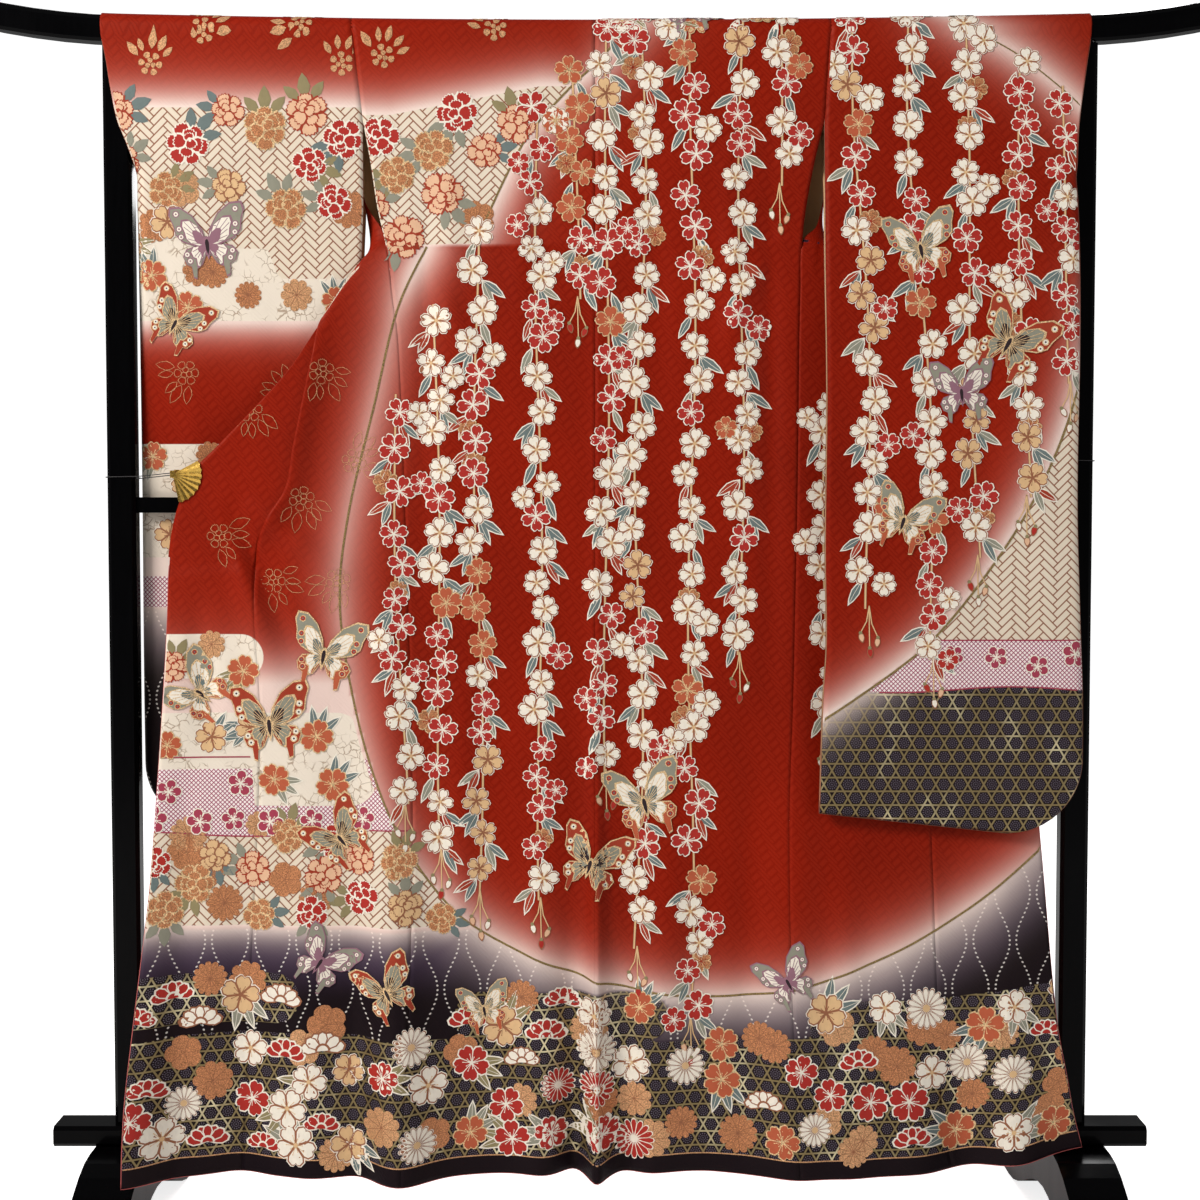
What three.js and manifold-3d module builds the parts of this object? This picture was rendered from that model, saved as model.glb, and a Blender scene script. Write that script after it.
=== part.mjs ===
// A long-sleeved furisode kimono hung, back outwards, on a lacquered kimono stand.
// Millimetres, +Z up, +X to the right of the side that is shown, -Y towards the viewer.
// The origin is on the floor, under the middle of the stand.
import * as THREE from "three";
import { mergeVertices } from "three/addons/utils/BufferGeometryUtils.js";
import Module from "manifold-3d";

// ---- Driving dimensions -------------------------------------------------------------

const CLOTH = 1.6; // silk, lining and the air between them
const COLLAR_CLOTH = 3; // the collar is folded in half over its core
const SEAM = 0.3; // between two pieces that are sewn together
const SEAT = 0.4; // between the rail and the cloth that lies on it

const RAIL = { half: 890, width: 34, height: 38, top: 1650, bow: 8, bowAt: 650, tipRise: 30, tipFrom: 640 };
const POST = { x: 647, width: 38, depth: 32, chamfer: 5 };
const MID_RAIL = { bottom: 991, height: 21, depth: 14, chamfer: 2 };
const LOWER_RAIL = { half: 747, bottom: 125, height: 28, depth: 60, chamfer: 5 };
const FOOT = { x: 651, width: 78, half: 300, flat: 60, toe: 42, pad: 65, arch: 60 };
FOOT.top = LOWER_RAIL.bottom - SEAM;

const WRAP = RAIL.width / 2 + SEAT + CLOTH; // outer radius of the cloth over the rail
const SHOULDER_DROP = 45; // the shoulder line hangs this far below the turn, behind the rail
const CENTRE_SEAM_X = -6.5;
const NECK_HALF = 95.5;
const HEM_LEVEL = 104;
const HEM_EVENS_OUT_AT = 420;

const SLEEVE_SEAL = 14; // how far in from a closed edge the two layers part
const COLLAR_WIDTH = 55;

const LACQUER = { color: 0x0b0a0b, roughness: 0.12, metalness: 0 };
const RED_SILK = { color: 0xa82a17, roughness: 0.6, metalness: 0 };
const GOLD = { color: 0xc79a3a, roughness: 0.28, metalness: 1 };
const CORD = { color: 0x1a1718, roughness: 0.7, metalness: 0 };

// ---- Numbers that vary along a piece -------------------------------------------------

const clamp = THREE.MathUtils.clamp;
const lerp = THREE.MathUtils.lerp;
const smooth = (from, to, value) => {
  const t = clamp((value - from) / (to - from), 0, 1);
  return t * t * (3 - 2 * t);
};

// A smooth line through one column of a table, read at any value of another column.
function lineThrough(rows, by, column) {
  const slope = rows.map((row, i) => {
    const before = rows[Math.max(i - 1, 0)];
    const after = rows[Math.min(i + 1, rows.length - 1)];
    return (after[column] - before[column]) / (after[by] - before[by]);
  });
  const rising = rows[1][by] > rows[0][by];
  return (at) => {
    let i = 0;
    while (i < rows.length - 2 && (rising ? at > rows[i + 1][by] : at < rows[i + 1][by])) i++;
    const span = rows[i + 1][by] - rows[i][by];
    const t = clamp((at - rows[i][by]) / span, 0, 1);
    const a = rows[i][column];
    const b = rows[i + 1][column];
    const ease = t * t * (3 - 2 * t);
    const leave = t * (1 - t) * (1 - t) * slope[i] * span;
    const arrive = t * t * (1 - t) * slope[i + 1] * span;
    return lerp(a, b, ease) + leave - arrive;
  };
}

const railTop = (x) =>
  RAIL.top + RAIL.bow * (x / RAIL.bowAt) ** 2 +
  RAIL.tipRise * (Math.max(Math.abs(x) - RAIL.tipFrom, 0) / (RAIL.half - RAIL.tipFrom)) ** 2;
const railAxis = (x) => railTop(x) - RAIL.width / 2;

// ---- Solids --------------------------------------------------------------------------

function closedGeometry(points, faces) {
  const geometry = new THREE.BufferGeometry().setFromPoints(points);
  geometry.setIndex(faces);
  geometry.computeVertexNormals();
  return geometry;
}

// A wall of cloth. point(u, row) gives the outer side, with u from left to right and the
// rows upwards as the wall faces its viewer; settle may move a point of the inner side.
function clothWall(point, columns, rows, wall, settle = () => {}) {
  const outer = rows.map((row) => columns.map((u) => point(u, row)));
  const at = (i, j) => outer[clamp(j, 0, rows.length - 1)][clamp(i, 0, columns.length - 1)];
  const inner = rows.map((row, j) =>
    columns.map((u, i) => {
      const across = at(i + 1, j).clone().sub(at(i - 1, j));
      const upwards = at(i, j + 1).clone().sub(at(i, j - 1));
      const outwards = across.cross(upwards).normalize();
      const inside = outer[j][i].clone().addScaledVector(outwards, -wall);
      settle(inside, outer[j][i], u, row);
      return inside;
    }),
  );
  const n = columns.length;
  const m = rows.length;
  const under = n * m; // where the inner side's points begin
  const faces = [];
  for (let j = 0; j < m - 1; j++) {
    for (let i = 0; i < n - 1; i++) {
      const a = j * n + i;
      const [b, c, d] = [a + 1, a + n + 1, a + n];
      faces.push(a, b, c, a, c, d, under + a, under + c, under + b, under + a, under + d, under + c);
    }
  }
  const rim = [];
  for (let i = 0; i < n - 1; i++) rim.push(i);
  for (let j = 0; j < m - 1; j++) rim.push(j * n + n - 1);
  for (let i = n - 1; i > 0; i--) rim.push((m - 1) * n + i);
  for (let j = m - 1; j > 0; j--) rim.push(j * n);
  rim.forEach((p, k) => {
    const q = rim[(k + 1) % rim.length];
    faces.push(q, p, under + p, q, under + p, under + q);
  });
  return closedGeometry([...outer.flat(), ...inner.flat()], faces);
}

// Rings of equal point counts, joined in order and capped at both ends.
function ringLoft(rings) {
  const n = rings[0].length;
  const faces = [];
  for (let r = 0; r < rings.length - 1; r++) {
    for (let i = 0; i < n; i++) {
      const a = r * n + i;
      const b = r * n + ((i + 1) % n);
      faces.push(a, b + n, b, a, a + n, b + n);
    }
  }
  const last = (rings.length - 1) * n;
  for (let i = 1; i < n - 1; i++) faces.push(0, i, i + 1, last, last + i + 1, last + i);
  return closedGeometry(rings.flat(), faces);
}

// A bar along +Z of a chamfered rectangle, width along X and depth along Y.
function chamferedBar(width, depth, height, chamfer) {
  const [x, y] = [width / 2, depth / 2];
  const outline = new THREE.Shape([
    new THREE.Vector2(x - chamfer, -y), new THREE.Vector2(x, chamfer - y),
    new THREE.Vector2(x, y - chamfer), new THREE.Vector2(x - chamfer, y),
    new THREE.Vector2(chamfer - x, y), new THREE.Vector2(-x, y - chamfer),
    new THREE.Vector2(-x, chamfer - y), new THREE.Vector2(chamfer - x, -y),
  ]);
  return new THREE.ExtrudeGeometry(outline, { depth: height, bevelEnabled: false });
}

// ---- The stand -----------------------------------------------------------------------

const FOLD_TURNS = [0, 30, 60, 90, 120, 150, 180]; // degrees over the rail, front to back

function topRail() {
  const radius = RAIL.width / 2;
  const skirt = RAIL.height - radius; // from the axis of the round top to the flat underside
  const edge = 4; // chamfer of the lower edges
  const section = FOLD_TURNS.map((turn) => {
    const angle = THREE.MathUtils.degToRad(turn);
    return { y: -radius * Math.cos(angle), z: radius * Math.sin(angle) };
  });
  section.push({ y: radius, z: edge - skirt }, { y: radius - edge, z: -skirt });
  section.push({ y: edge - radius, z: -skirt }, { y: -radius, z: edge - skirt });
  const stations = [0, 130, 260, 390, 520, 600, 640, 680, 720, 760, 800, 840, 872, 886, RAIL.half];
  const along = [...stations.slice(1).reverse().map((x) => -x), ...stations];
  const rounding = (x) => 1 - 0.35 * smooth(RAIL.half - 18, RAIL.half, Math.abs(x)) ** 2;
  return ringLoft(
    along.map((x) =>
      section.map(({ y, z }) => new THREE.Vector3(x, y * rounding(x), railAxis(x) + z * rounding(x))),
    ),
  );
}

// One foot, seen from its end: a low bridge on two pads, its back a pair of ogee curves.
function foot() {
  const steps = [0, 0.12, 0.25, 0.38, 0.5, 0.62, 0.75, 0.88, 1];
  const outline = new THREE.Shape();
  outline.moveTo(FOOT.half, 0);
  const back = (t) => lerp(FOOT.toe, FOOT.top, (Math.cos(Math.PI * t) + 1) / 2);
  for (const t of [...steps].reverse()) outline.lineTo(lerp(FOOT.flat, FOOT.half, t), back(t));
  for (const t of steps) outline.lineTo(-lerp(FOOT.flat, FOOT.half, t), back(t));
  outline.lineTo(-FOOT.half, 0);
  const span = FOOT.half - FOOT.pad;
  for (let k = 0; k <= 14; k++) {
    const y = lerp(-span, span, k / 14);
    outline.lineTo(y, (FOOT.arch * (Math.cos((Math.PI * y) / span) + 1)) / 2);
  }
  const plate = new THREE.ExtrudeGeometry(outline, { depth: FOOT.width, bevelEnabled: false });
  return plate.rotateX(Math.PI / 2).rotateZ(Math.PI / 2).translate(-FOOT.width / 2, 0, 0);
}

// ---- How the cloth hangs --------------------------------------------------------------

// Depth of the hanging cloth below the rail, before its folds.
const HANG = [
  { z: 1634, y: -19 }, { z: 1600, y: -19 }, { z: 1500, y: -20.5 }, { z: 1335, y: -24 },
  { z: 1200, y: -28 }, { z: 1006, y: -31 }, { z: 800, y: -34 }, { z: 600, y: -40 },
  { z: 400, y: -56 }, { z: 250, y: -72 }, { z: 100, y: -86 },
];
const hangDepth = lineThrough(HANG, "z", "y");

// Folds from (x0, z0) to (x1, z1): half width at each end, and how far the cloth stands
// forward at the start, the middle and the end. A minus is a trough.
const FOLDS = [
  { x0: -585, z0: 900, x1: -640, z1: 70, w0: 40, w1: 62, start: 0, middle: 14, end: 78 },
  { x0: -468, z0: 900, x1: -486, z1: 70, w0: 26, w1: 42, start: 0, middle: -4, end: -26 },
  { x0: -300, z0: 1190, x1: -264, z1: 70, w0: 22, w1: 46, start: 0, middle: 12, end: 50 },
  { x0: -150, z0: 1000, x1: -130, z1: 70, w0: 40, w1: 60, start: 0, middle: -5, end: -12 },
  { x0: -40, z0: 900, x1: -34, z1: 70, w0: 18, w1: 24, start: 0, middle: -5, end: -36 },
  { x0: -6.5, z0: 1500, x1: -5, z1: 70, w0: 7, w1: 12, start: 0, middle: 3, end: 24 },
  { x0: 34, z0: 900, x1: 32, z1: 70, w0: 18, w1: 26, start: 0, middle: -3, end: -26 },
  { x0: 150, z0: 1100, x1: 135, z1: 70, w0: 36, w1: 60, start: 0, middle: 3, end: -16 },
  { x0: 262, z0: 1250, x1: 266, z1: 70, w0: 16, w1: 44, start: 0, middle: 4, end: 16 },
  { x0: 400, z0: 520, x1: 402, z1: 70, w0: 30, w1: 40, start: 0, middle: 4, end: 2 },
  { x0: 470, z0: 560, x1: 494, z1: 70, w0: 26, w1: 48, start: 0, middle: -6, end: -40 },
  { x0: 590, z0: 520, x1: 652, z1: 70, w0: 30, w1: 60, start: 0, middle: -4, end: -24 },
  { x0: -500, z0: 985, x1: -420, z1: 700, w0: 14, w1: 28, start: 0, middle: 11, end: 0 },
  { x0: -545, z0: 900, x1: -525, z1: 640, w0: 14, w1: 24, start: 0, middle: -7, end: 0 },
  { x0: -480, z0: 1010, x1: -330, z1: 890, w0: 14, w1: 24, start: 0, middle: 8, end: 0 },
];

function foldDepth(x, z) {
  return FOLDS.reduce((depth, fold) => {
    const [dx, dz] = [fold.x1 - fold.x0, fold.z1 - fold.z0];
    const t = clamp(((x - fold.x0) * dx + (z - fold.z0) * dz) / (dx * dx + dz * dz), 0, 1);
    const off = Math.hypot(x - fold.x0 - t * dx, z - fold.z0 - t * dz) / lerp(fold.w0, fold.w1, t);
    const height =
      t < 0.5 ? lerp(fold.start, fold.middle, 2 * t) : lerp(fold.middle, fold.end, 2 * t - 1);
    return depth + height * Math.exp(-off * off);
  }, 0);
}

// Where the outer side of the near curtain of back, front and overlap panels lies.
const curtainDepth = (x, z) => hangDepth(z) - foldDepth(x, z) * smooth(1600, 1480, z);

const HEM = [
  { x: -640, z: 110 }, { x: -560, z: 106 }, { x: -484, z: 104 }, { x: -263, z: 104 },
  { x: -40, z: 104 }, { x: -5, z: 97 }, { x: 32, z: 104 }, { x: 135, z: 107 },
  { x: 267, z: 103 }, { x: 405, z: 105 }, { x: 473, z: 105.5 }, { x: 514, z: 112 }, { x: 650, z: 137 },
];
const hemHeight = lineThrough(HEM, "x", "z");
const hemmed = (x, level) =>
  level + (hemHeight(x) - HEM_LEVEL) * smooth(HEM_EVENS_OUT_AT, HEM_LEVEL, level);
const onCurtain = (x, level) => {
  const z = hemmed(x, level);
  return new THREE.Vector3(x, curtainDepth(x, z), z);
};

// A point of cloth that lies over the rail, turned from the front to the back.
const overRail = (x, turn) => {
  const angle = THREE.MathUtils.degToRad(turn);
  return new THREE.Vector3(x, -WRAP * Math.cos(angle), railAxis(x) + WRAP * Math.sin(angle));
};

// ---- Sizes that differ between the two sides -------------------------------------------

// side: -1 left, 1 right. armhole: where sleeve and body meet, at the rail and where the
// seam ends. sideSeam: from there down. Each front row runs from the side seam, at level
// side, through the seam between front and overlap to the free edge of the overlap.
const LEFT = {
  side: -1,
  armhole: { top: -332, topLevel: 1651, end: -317, endLevel: 1515 },
  sideSeam: [
    { z: 1515, x: -317 }, { z: 1460, x: -307 }, { z: 1400, x: -298 }, { z: 1335, x: -284 },
    { z: 1270, x: -277 }, { z: 1222, x: -270.5 }, { z: 1008, x: -262 }, { z: 605, x: -252 },
    { z: 341, x: -254 }, { z: 104, x: -263 },
  ],
  front: [
    { side: 104, seamX: -484, seamZ: 104, edgeX: -626, edgeZ: 104 },
    { side: 150, seamX: -482, seamZ: 150, edgeX: -626.5, edgeZ: 150 },
    { side: 210, seamX: -479, seamZ: 210, edgeX: -625.5, edgeZ: 210 },
    { side: 290, seamX: -475, seamZ: 290, edgeX: -620, edgeZ: 290 },
    { side: 380, seamX: -471, seamZ: 380, edgeX: -613, edgeZ: 380 },
    { side: 480, seamX: -466, seamZ: 480, edgeX: -605, edgeZ: 480 },
    { side: 600, seamX: -461, seamZ: 600, edgeX: -597, edgeZ: 600 },
    { side: 740, seamX: -459, seamZ: 740, edgeX: -588, edgeZ: 740 },
    { side: 850, seamX: -464, seamZ: 850, edgeX: -582.5, edgeZ: 840 },
    { side: 930, seamX: -463, seamZ: 937, edgeX: -579, edgeZ: 930 },
    { side: 1000, seamX: -446, seamZ: 984, edgeX: -567, edgeZ: 1000 },
    { side: 1060, seamX: -421, seamZ: 1026, edgeX: -553, edgeZ: 1040 },
    { side: 1150, seamX: -411, seamZ: 1080, edgeX: -509, edgeZ: 1086 },
    { side: 1230, seamX: -398, seamZ: 1142, edgeX: -455, edgeZ: 1142 },
    { side: 1290, seamX: -386, seamZ: 1197, edgeX: -417, edgeZ: 1184 },
    { side: 1335, seamX: -374, seamZ: 1250, edgeX: -380, edgeZ: 1238 },
  ],
  // From the top of the side seam up to the shoulder line, behind: the side edge, the edge
  // at the collar, and how far the slack between them bellies backwards and down.
  pouch: [
    { sideX: -277, sideY: -10, sideZ: 1368, edgeX: -340, edgeY: -21, edgeZ: 1283, back: 4, down: -12 },
    { sideX: -287, sideY: 5, sideZ: 1412, edgeX: -297, edgeY: -14, edgeZ: 1309, back: 26, down: 12 },
    { sideX: -305, sideY: 15, sideZ: 1462, edgeX: -252, edgeY: -4, edgeZ: 1350, back: 44, down: 26 },
    { sideX: -316.6, sideY: 19.6, sideZ: 1515, edgeX: -203, edgeY: 9, edgeZ: 1410, back: 38, down: 26 },
    { sideX: -320, sideY: 19.3, sideZ: 1552, edgeX: -150, edgeY: 17, edgeZ: 1490, back: 18, down: 12 },
    { sideX: -323.5, sideY: 19, sideZ: 1587.5, edgeX: -NECK_HALF, edgeY: 19, edgeZ: 1587.5, back: 0, down: 0 },
  ],
  overhang: { z0: 1262, z1: 930, reach: 11, width: 26 },
  clip: { x: -574, z: 1043, from: 28, to: -78, tieZ: 1039 },
};

const RIGHT = {
  side: 1,
  armhole: { top: 309, topLevel: 1651, end: 300, endLevel: 1515 },
  sideSeam: [
    { z: 1515, x: 300 }, { z: 1460, x: 287 }, { z: 1400, x: 276 }, { z: 1352, x: 270.5 },
    { z: 1276, x: 268 }, { z: 1222, x: 267 }, { z: 1008, x: 265 }, { z: 740, x: 260 },
    { z: 566, x: 255 }, { z: 341, x: 258 }, { z: 104, x: 267 },
  ],
  front: [
    { side: 104, seamX: 477, seamZ: 104, edgeX: 650, edgeZ: 104 },
    { side: 150, seamX: 467, seamZ: 150, edgeX: 639, edgeZ: 150 },
    { side: 210, seamX: 460, seamZ: 210, edgeX: 629, edgeZ: 210 },
    { side: 290, seamX: 456, seamZ: 290, edgeX: 616, edgeZ: 290 },
    { side: 380, seamX: 453, seamZ: 380, edgeX: 608, edgeZ: 380 },
    { side: 480, seamX: 450, seamZ: 480, edgeX: 600, edgeZ: 480 },
    { side: 600, seamX: 446, seamZ: 600, edgeX: 590, edgeZ: 600 },
    { side: 740, seamX: 445, seamZ: 740, edgeX: 583, edgeZ: 740 },
    { side: 850, seamX: 449, seamZ: 850, edgeX: 577, edgeZ: 840 },
    { side: 930, seamX: 448, seamZ: 937, edgeX: 573, edgeZ: 930 },
    { side: 1000, seamX: 433, seamZ: 984, edgeX: 561, edgeZ: 1003 },
    { side: 1060, seamX: 410, seamZ: 1034, edgeX: 549, edgeZ: 1050 },
    { side: 1150, seamX: 399, seamZ: 1090, edgeX: 503, edgeZ: 1096 },
    { side: 1230, seamX: 387, seamZ: 1152, edgeX: 447, edgeZ: 1153 },
    { side: 1290, seamX: 374, seamZ: 1208, edgeX: 405, edgeZ: 1197 },
    { side: 1352, seamX: 361, seamZ: 1262, edgeX: 367, edgeZ: 1250 },
  ],
  pouch: [
    { sideX: 264, sideY: -10, sideZ: 1384, edgeX: 327, edgeY: -21, edgeZ: 1294, back: 4, down: -12 },
    { sideX: 270, sideY: 3, sideZ: 1424, edgeX: 285, edgeY: -14, edgeZ: 1320, back: 26, down: 12 },
    { sideX: 286, sideY: 11, sideZ: 1468, edgeX: 243, edgeY: -4, edgeZ: 1358, back: 44, down: 26 },
    { sideX: 299.6, sideY: 16.6, sideZ: 1520, edgeX: 198, edgeY: 9, edgeZ: 1415, back: 38, down: 26 },
    { sideX: 302, sideY: 18.6, sideZ: 1554, edgeX: 148, edgeY: 17, edgeZ: 1492, back: 18, down: 12 },
    { sideX: 304.3, sideY: 19, sideZ: 1587.5, edgeX: NECK_HALF, edgeY: 19, edgeZ: 1587.5, back: 0, down: 0 },
  ],
  overhang: { z0: 1262, z1: 930, reach: 4, width: 26 },
  clip: { x: 566, z: 1056, from: 152, to: 258, tieZ: 1061 },
};

const armholeX = ({ armhole }, z) =>
  lerp(armhole.end, armhole.top, (z - armhole.endLevel) / (armhole.topLevel - armhole.endLevel));
for (const half of [LEFT, RIGHT]) {
  half.sideX = lineThrough(half.sideSeam, "z", "x");
  half.backEdge = (z) => (z > half.armhole.endLevel ? armholeX(half, z) : half.sideX(z));
}

// A seam keeps its two pieces apart: the wall goes straight back from it.
const straightBack = (seamColumns) => (inside, outside, u) => {
  if (seamColumns.includes(u)) inside.x = outside.x;
};

// ---- Back panels: from the hem, over the rail and down to the shoulder line -------------

const ABOVE_SIDE_SEAM = [1400, 1460, 1515, 1570, 1610];
const BEHIND_RAIL = [24, SHOULDER_DROP]; // below the turn
const BACK_COLUMNS = [0, 0.06, 0.13, 0.25, 0.4, 0.57, 0.73, 0.88, 1]; // centre seam to side

function backPanel(half) {
  const centreX = CENTRE_SEAM_X + (half.side * SEAM) / 2;
  const levels = half.front.map((row, k) => ({ centre: LEFT.front[k].side, edge: row.side }));
  levels.push(...ABOVE_SIDE_SEAM.map((z) => ({ centre: z, edge: z })));
  const rows = [
    ...levels,
    ...FOLD_TURNS.map((turn) => ({ turn })),
    ...BEHIND_RAIL.map((drop) => ({ drop })),
  ];
  const across = half.side > 0 ? BACK_COLUMNS : BACK_COLUMNS.map((u) => 1 - u).reverse();
  const outwards = (u) => (half.side > 0 ? u : 1 - u); // 0 at the centre seam, 1 at the side
  const edgeX = (z) => half.backEdge(z) - (half.side * SEAM) / 2;
  const point = (u, row) => {
    const t = outwards(u);
    if (row.turn === undefined && row.drop === undefined) {
      const level = lerp(row.centre, row.edge, t);
      return onCurtain(lerp(centreX, edgeX(row.edge), t), level);
    }
    const turn = row.turn ?? 180;
    const height = railAxis(0) + WRAP * Math.sin(THREE.MathUtils.degToRad(turn)) - (row.drop ?? 0);
    const place = overRail(lerp(centreX, edgeX(height), t), turn);
    place.z -= row.drop ?? 0;
    return place;
  };
  return clothWall(point, across, rows, CLOTH, straightBack([0, 1]));
}

// ---- Front panels: near curtain, then twisted back and up to the shoulder line ----------

const FRONT_COLUMNS = [0, 0.08, 0.2, 0.36, 0.54, 0.72, 0.88, 1];

// How far the front panel stands over the overlap panel, where it is drawn to the clip.
function overhangAt({ overhang, side }, fromSeam, z) {
  const along = smooth(overhang.z1, overhang.z1 + 60, z) * smooth(overhang.z0, overhang.z0 - 90, z);
  return along * overhang.reach * Math.exp(-((fromSeam / overhang.width) ** 2));
}

function frontPanel(half) {
  const { side } = half;
  const rows = [...half.front, ...half.pouch];
  const columns = side < 0 ? FRONT_COLUMNS : FRONT_COLUMNS.map((u) => 1 - u).reverse();
  const fromEdge = (u) => (side < 0 ? u : 1 - u); // 0 at the overlap seam, 1 at the side seam
  const curtain = (t, row) => {
    const x = lerp(row.seamX - (side * SEAM) / 2, half.sideX(row.side) + (side * SEAM) / 2, t);
    const crown = row === half.front.at(-1) ? 62 * t * (1 - t) * (0.4 + t) : 0; // the turned-over top
    const place = onCurtain(x + side * crown * 0.32, lerp(row.seamZ, row.side, t) + crown);
    place.y -= overhangAt(half, x - row.seamX, place.z);
    // Its top corner slips in behind the back panel.
    if (row === half.front.at(-1)) place.y += (CLOTH + SEAM) * smooth(0.6, 1, t);
    return place;
  };
  const pouch = (t, row) => {
    const belly = 3 * t * (1 - t);
    return new THREE.Vector3(
      lerp(row.edgeX, row.sideX, t),
      lerp(row.edgeY, row.sideY, t) + row.back * belly,
      lerp(row.edgeZ, row.sideZ, t) - row.down * belly,
    );
  };
  const point = (u, row) => (row.side ? curtain(fromEdge(u), row) : pouch(fromEdge(u), row));
  return clothWall(point, columns, rows, CLOTH, (inside, outside, u, row) => {
    if (row.side && (u === 0 || u === 1)) inside.x = outside.x;
  });
}

// ---- Overlap panels: the narrow panel along the front edge -----------------------------

const OVERLAP_COLUMNS = [0, 0.28, 0.6, 0.86, 1];
const LAP = 14; // how far the overlap panel runs in under the overhanging front
const LAP_DEPTH = CLOTH + 2 * SEAM; // and how far behind the front's outer side it lies there

// 1 where the front overhangs, 0 below.
const lapped = ({ overhang }, z) => smooth(overhang.z1 - 20, overhang.z1, z);

function overlapPanel(half) {
  const { side, overhang } = half;
  const columns = side < 0 ? OVERLAP_COLUMNS : OVERLAP_COLUMNS.map((u) => 1 - u).reverse();
  const fromEdge = (u) => (side < 0 ? u : 1 - u); // 0 at the free edge, 1 at the seam
  const point = (u, row) => {
    const t = fromEdge(u);
    const lap = smooth(overhang.z1 + 20, overhang.z1 + 90, row.seamZ);
    const seamX = row.seamX + (side * SEAM) / 2 - side * LAP * lap;
    const place = onCurtain(lerp(row.edgeX, seamX, t), lerp(row.edgeZ, row.seamZ - LAP * 0.6 * lap, t));
    place.y += LAP_DEPTH * lapped(half, row.seamZ);
    return place;
  };
  return clothWall(point, columns, half.front, CLOTH, straightBack([side < 0 ? 1 : 0]));
}

// ---- Collar: a folded band round the neck and down both front edges --------------------

const COLLAR_BEHIND = 0.4; // clear of the cloth in front of it
const COLLAR_TAIL = [
  { x: 0.5, level: 932, out: 5 }, { x: 0.5, level: 965, out: 5 }, { x: 0.5, level: 1003, out: 3 },
];

// The collar on one front: its edge follows the drawn-out front edge, its width lies inwards.
function frontCollar(half) {
  const { side } = half;
  const edgeRows = half.front.filter((row) => row.edgeZ > COLLAR_TAIL.at(-1).level + 10);
  const edgeX = lineThrough(half.front, "edgeZ", "edgeX");
  const path = [
    ...COLLAR_TAIL.map(({ level, out }) => ({ x: edgeX(level) + side * out, z: level })),
    ...edgeRows.map((row) => ({ x: row.edgeX, z: row.edgeZ })),
    ...half.pouch.map((row) => ({ x: row.edgeX, y: row.edgeY, z: row.edgeZ })),
  ];
  const widthAt = (k) => {
    const before = path[Math.max(k - 1, 0)];
    const after = path[Math.min(k + 1, path.length - 1)];
    const along = new THREE.Vector2(after.x - before.x, after.z - before.z).normalize();
    const inwards = new THREE.Vector2(-side * along.y, side * along.x);
    if (k === path.length - 1) inwards.set(0, -1); // square to the neck band
    return inwards.multiplyScalar(COLLAR_WIDTH);
  };
  const columns = side < 0 ? [0, 0.5, 1] : [1, 0.5, 0];
  const point = (u, k) => {
    const reach = widthAt(k).multiplyScalar(u + 0.04);
    const [x, z] = [path[k].x + reach.x, path[k].z + reach.y];
    const drawn = curtainDepth(x, z) + LAP_DEPTH + CLOTH + COLLAR_BEHIND;
    const y = path[k].y === undefined ? drawn : path[k].y + CLOTH + COLLAR_BEHIND;
    return new THREE.Vector3(x, y, z);
  };
  return clothWall(point, columns, path.map((_, k) => k), COLLAR_CLOTH);
}

function neckCollar() {
  const rows = [COLLAR_WIDTH, COLLAR_WIDTH / 2, 1];
  const point = (x, drop) =>
    new THREE.Vector3(x, WRAP + CLOTH + COLLAR_BEHIND, railAxis(0) - SHOULDER_DROP - drop);
  const reach = NECK_HALF - SEAM;
  return clothWall(point, [-reach, -reach / 2, 0, reach / 2, reach], rows, COLLAR_CLOTH);
}

// ---- Sleeves: one cloth over the rail, closed at the bottom and below the cuff ---------

// near and far give the outer side of each layer; a negative y is towards the viewer. The
// inner edge stays open along its whole length, and the outer one above closedBelow.
const LEFT_SLEEVE = {
  half: LEFT,
  bottom: 562, round: 84, shear: 6, closedBelow: 1456,
  innerEdge: [
    { z: 1515, x: -317 }, { z: 1400, x: -318 }, { z: 1327, x: -321 }, { z: 1000, x: -321 },
    { z: 562, x: -318 },
  ],
  near: [
    { z: 1633, out: -667, yIn: -19, yOut: -19 }, { z: 1600, out: -660, yIn: -19, yOut: -19 },
    { z: 1560, out: -654, yIn: -19.6, yOut: -19 }, { z: 1515, out: -645, yIn: -20.3, yOut: -19 },
    { z: 1485, out: -633, yIn: -19, yOut: -19 }, { z: 1456, out: -624.5, yIn: -17, yOut: -18 },
    { z: 1400, out: -624, yIn: -12, yOut: -14 }, { z: 1300, out: -624, yIn: -5, yOut: -6 },
    { z: 1150, out: -624.5, yIn: 3, yOut: 3 }, { z: 1006, out: -625, yIn: 10, yOut: 10 },
    { z: 740, out: -626, yIn: 12.5, yOut: 12.5 }, { z: 562, out: -625, yIn: 13, yOut: 13 },
  ],
  far: [
    { z: 1633, out: -667, yIn: 19, yOut: 19 }, { z: 1600, out: -660, yIn: 19, yOut: 19 },
    { z: 1560, out: -654, yIn: 19.3, yOut: 19.3 }, { z: 1515, out: -645, yIn: 19.6, yOut: 20 },
    { z: 1485, out: -633, yIn: 20, yOut: 20.5 }, { z: 1456, out: -624.5, yIn: 21, yOut: 21 },
    { z: 1300, out: -624, yIn: 24, yOut: 24 }, { z: 1006, out: -625, yIn: 26.5, yOut: 26.5 },
    { z: 562, out: -625, yIn: 28, yOut: 28 },
  ],
};

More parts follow.
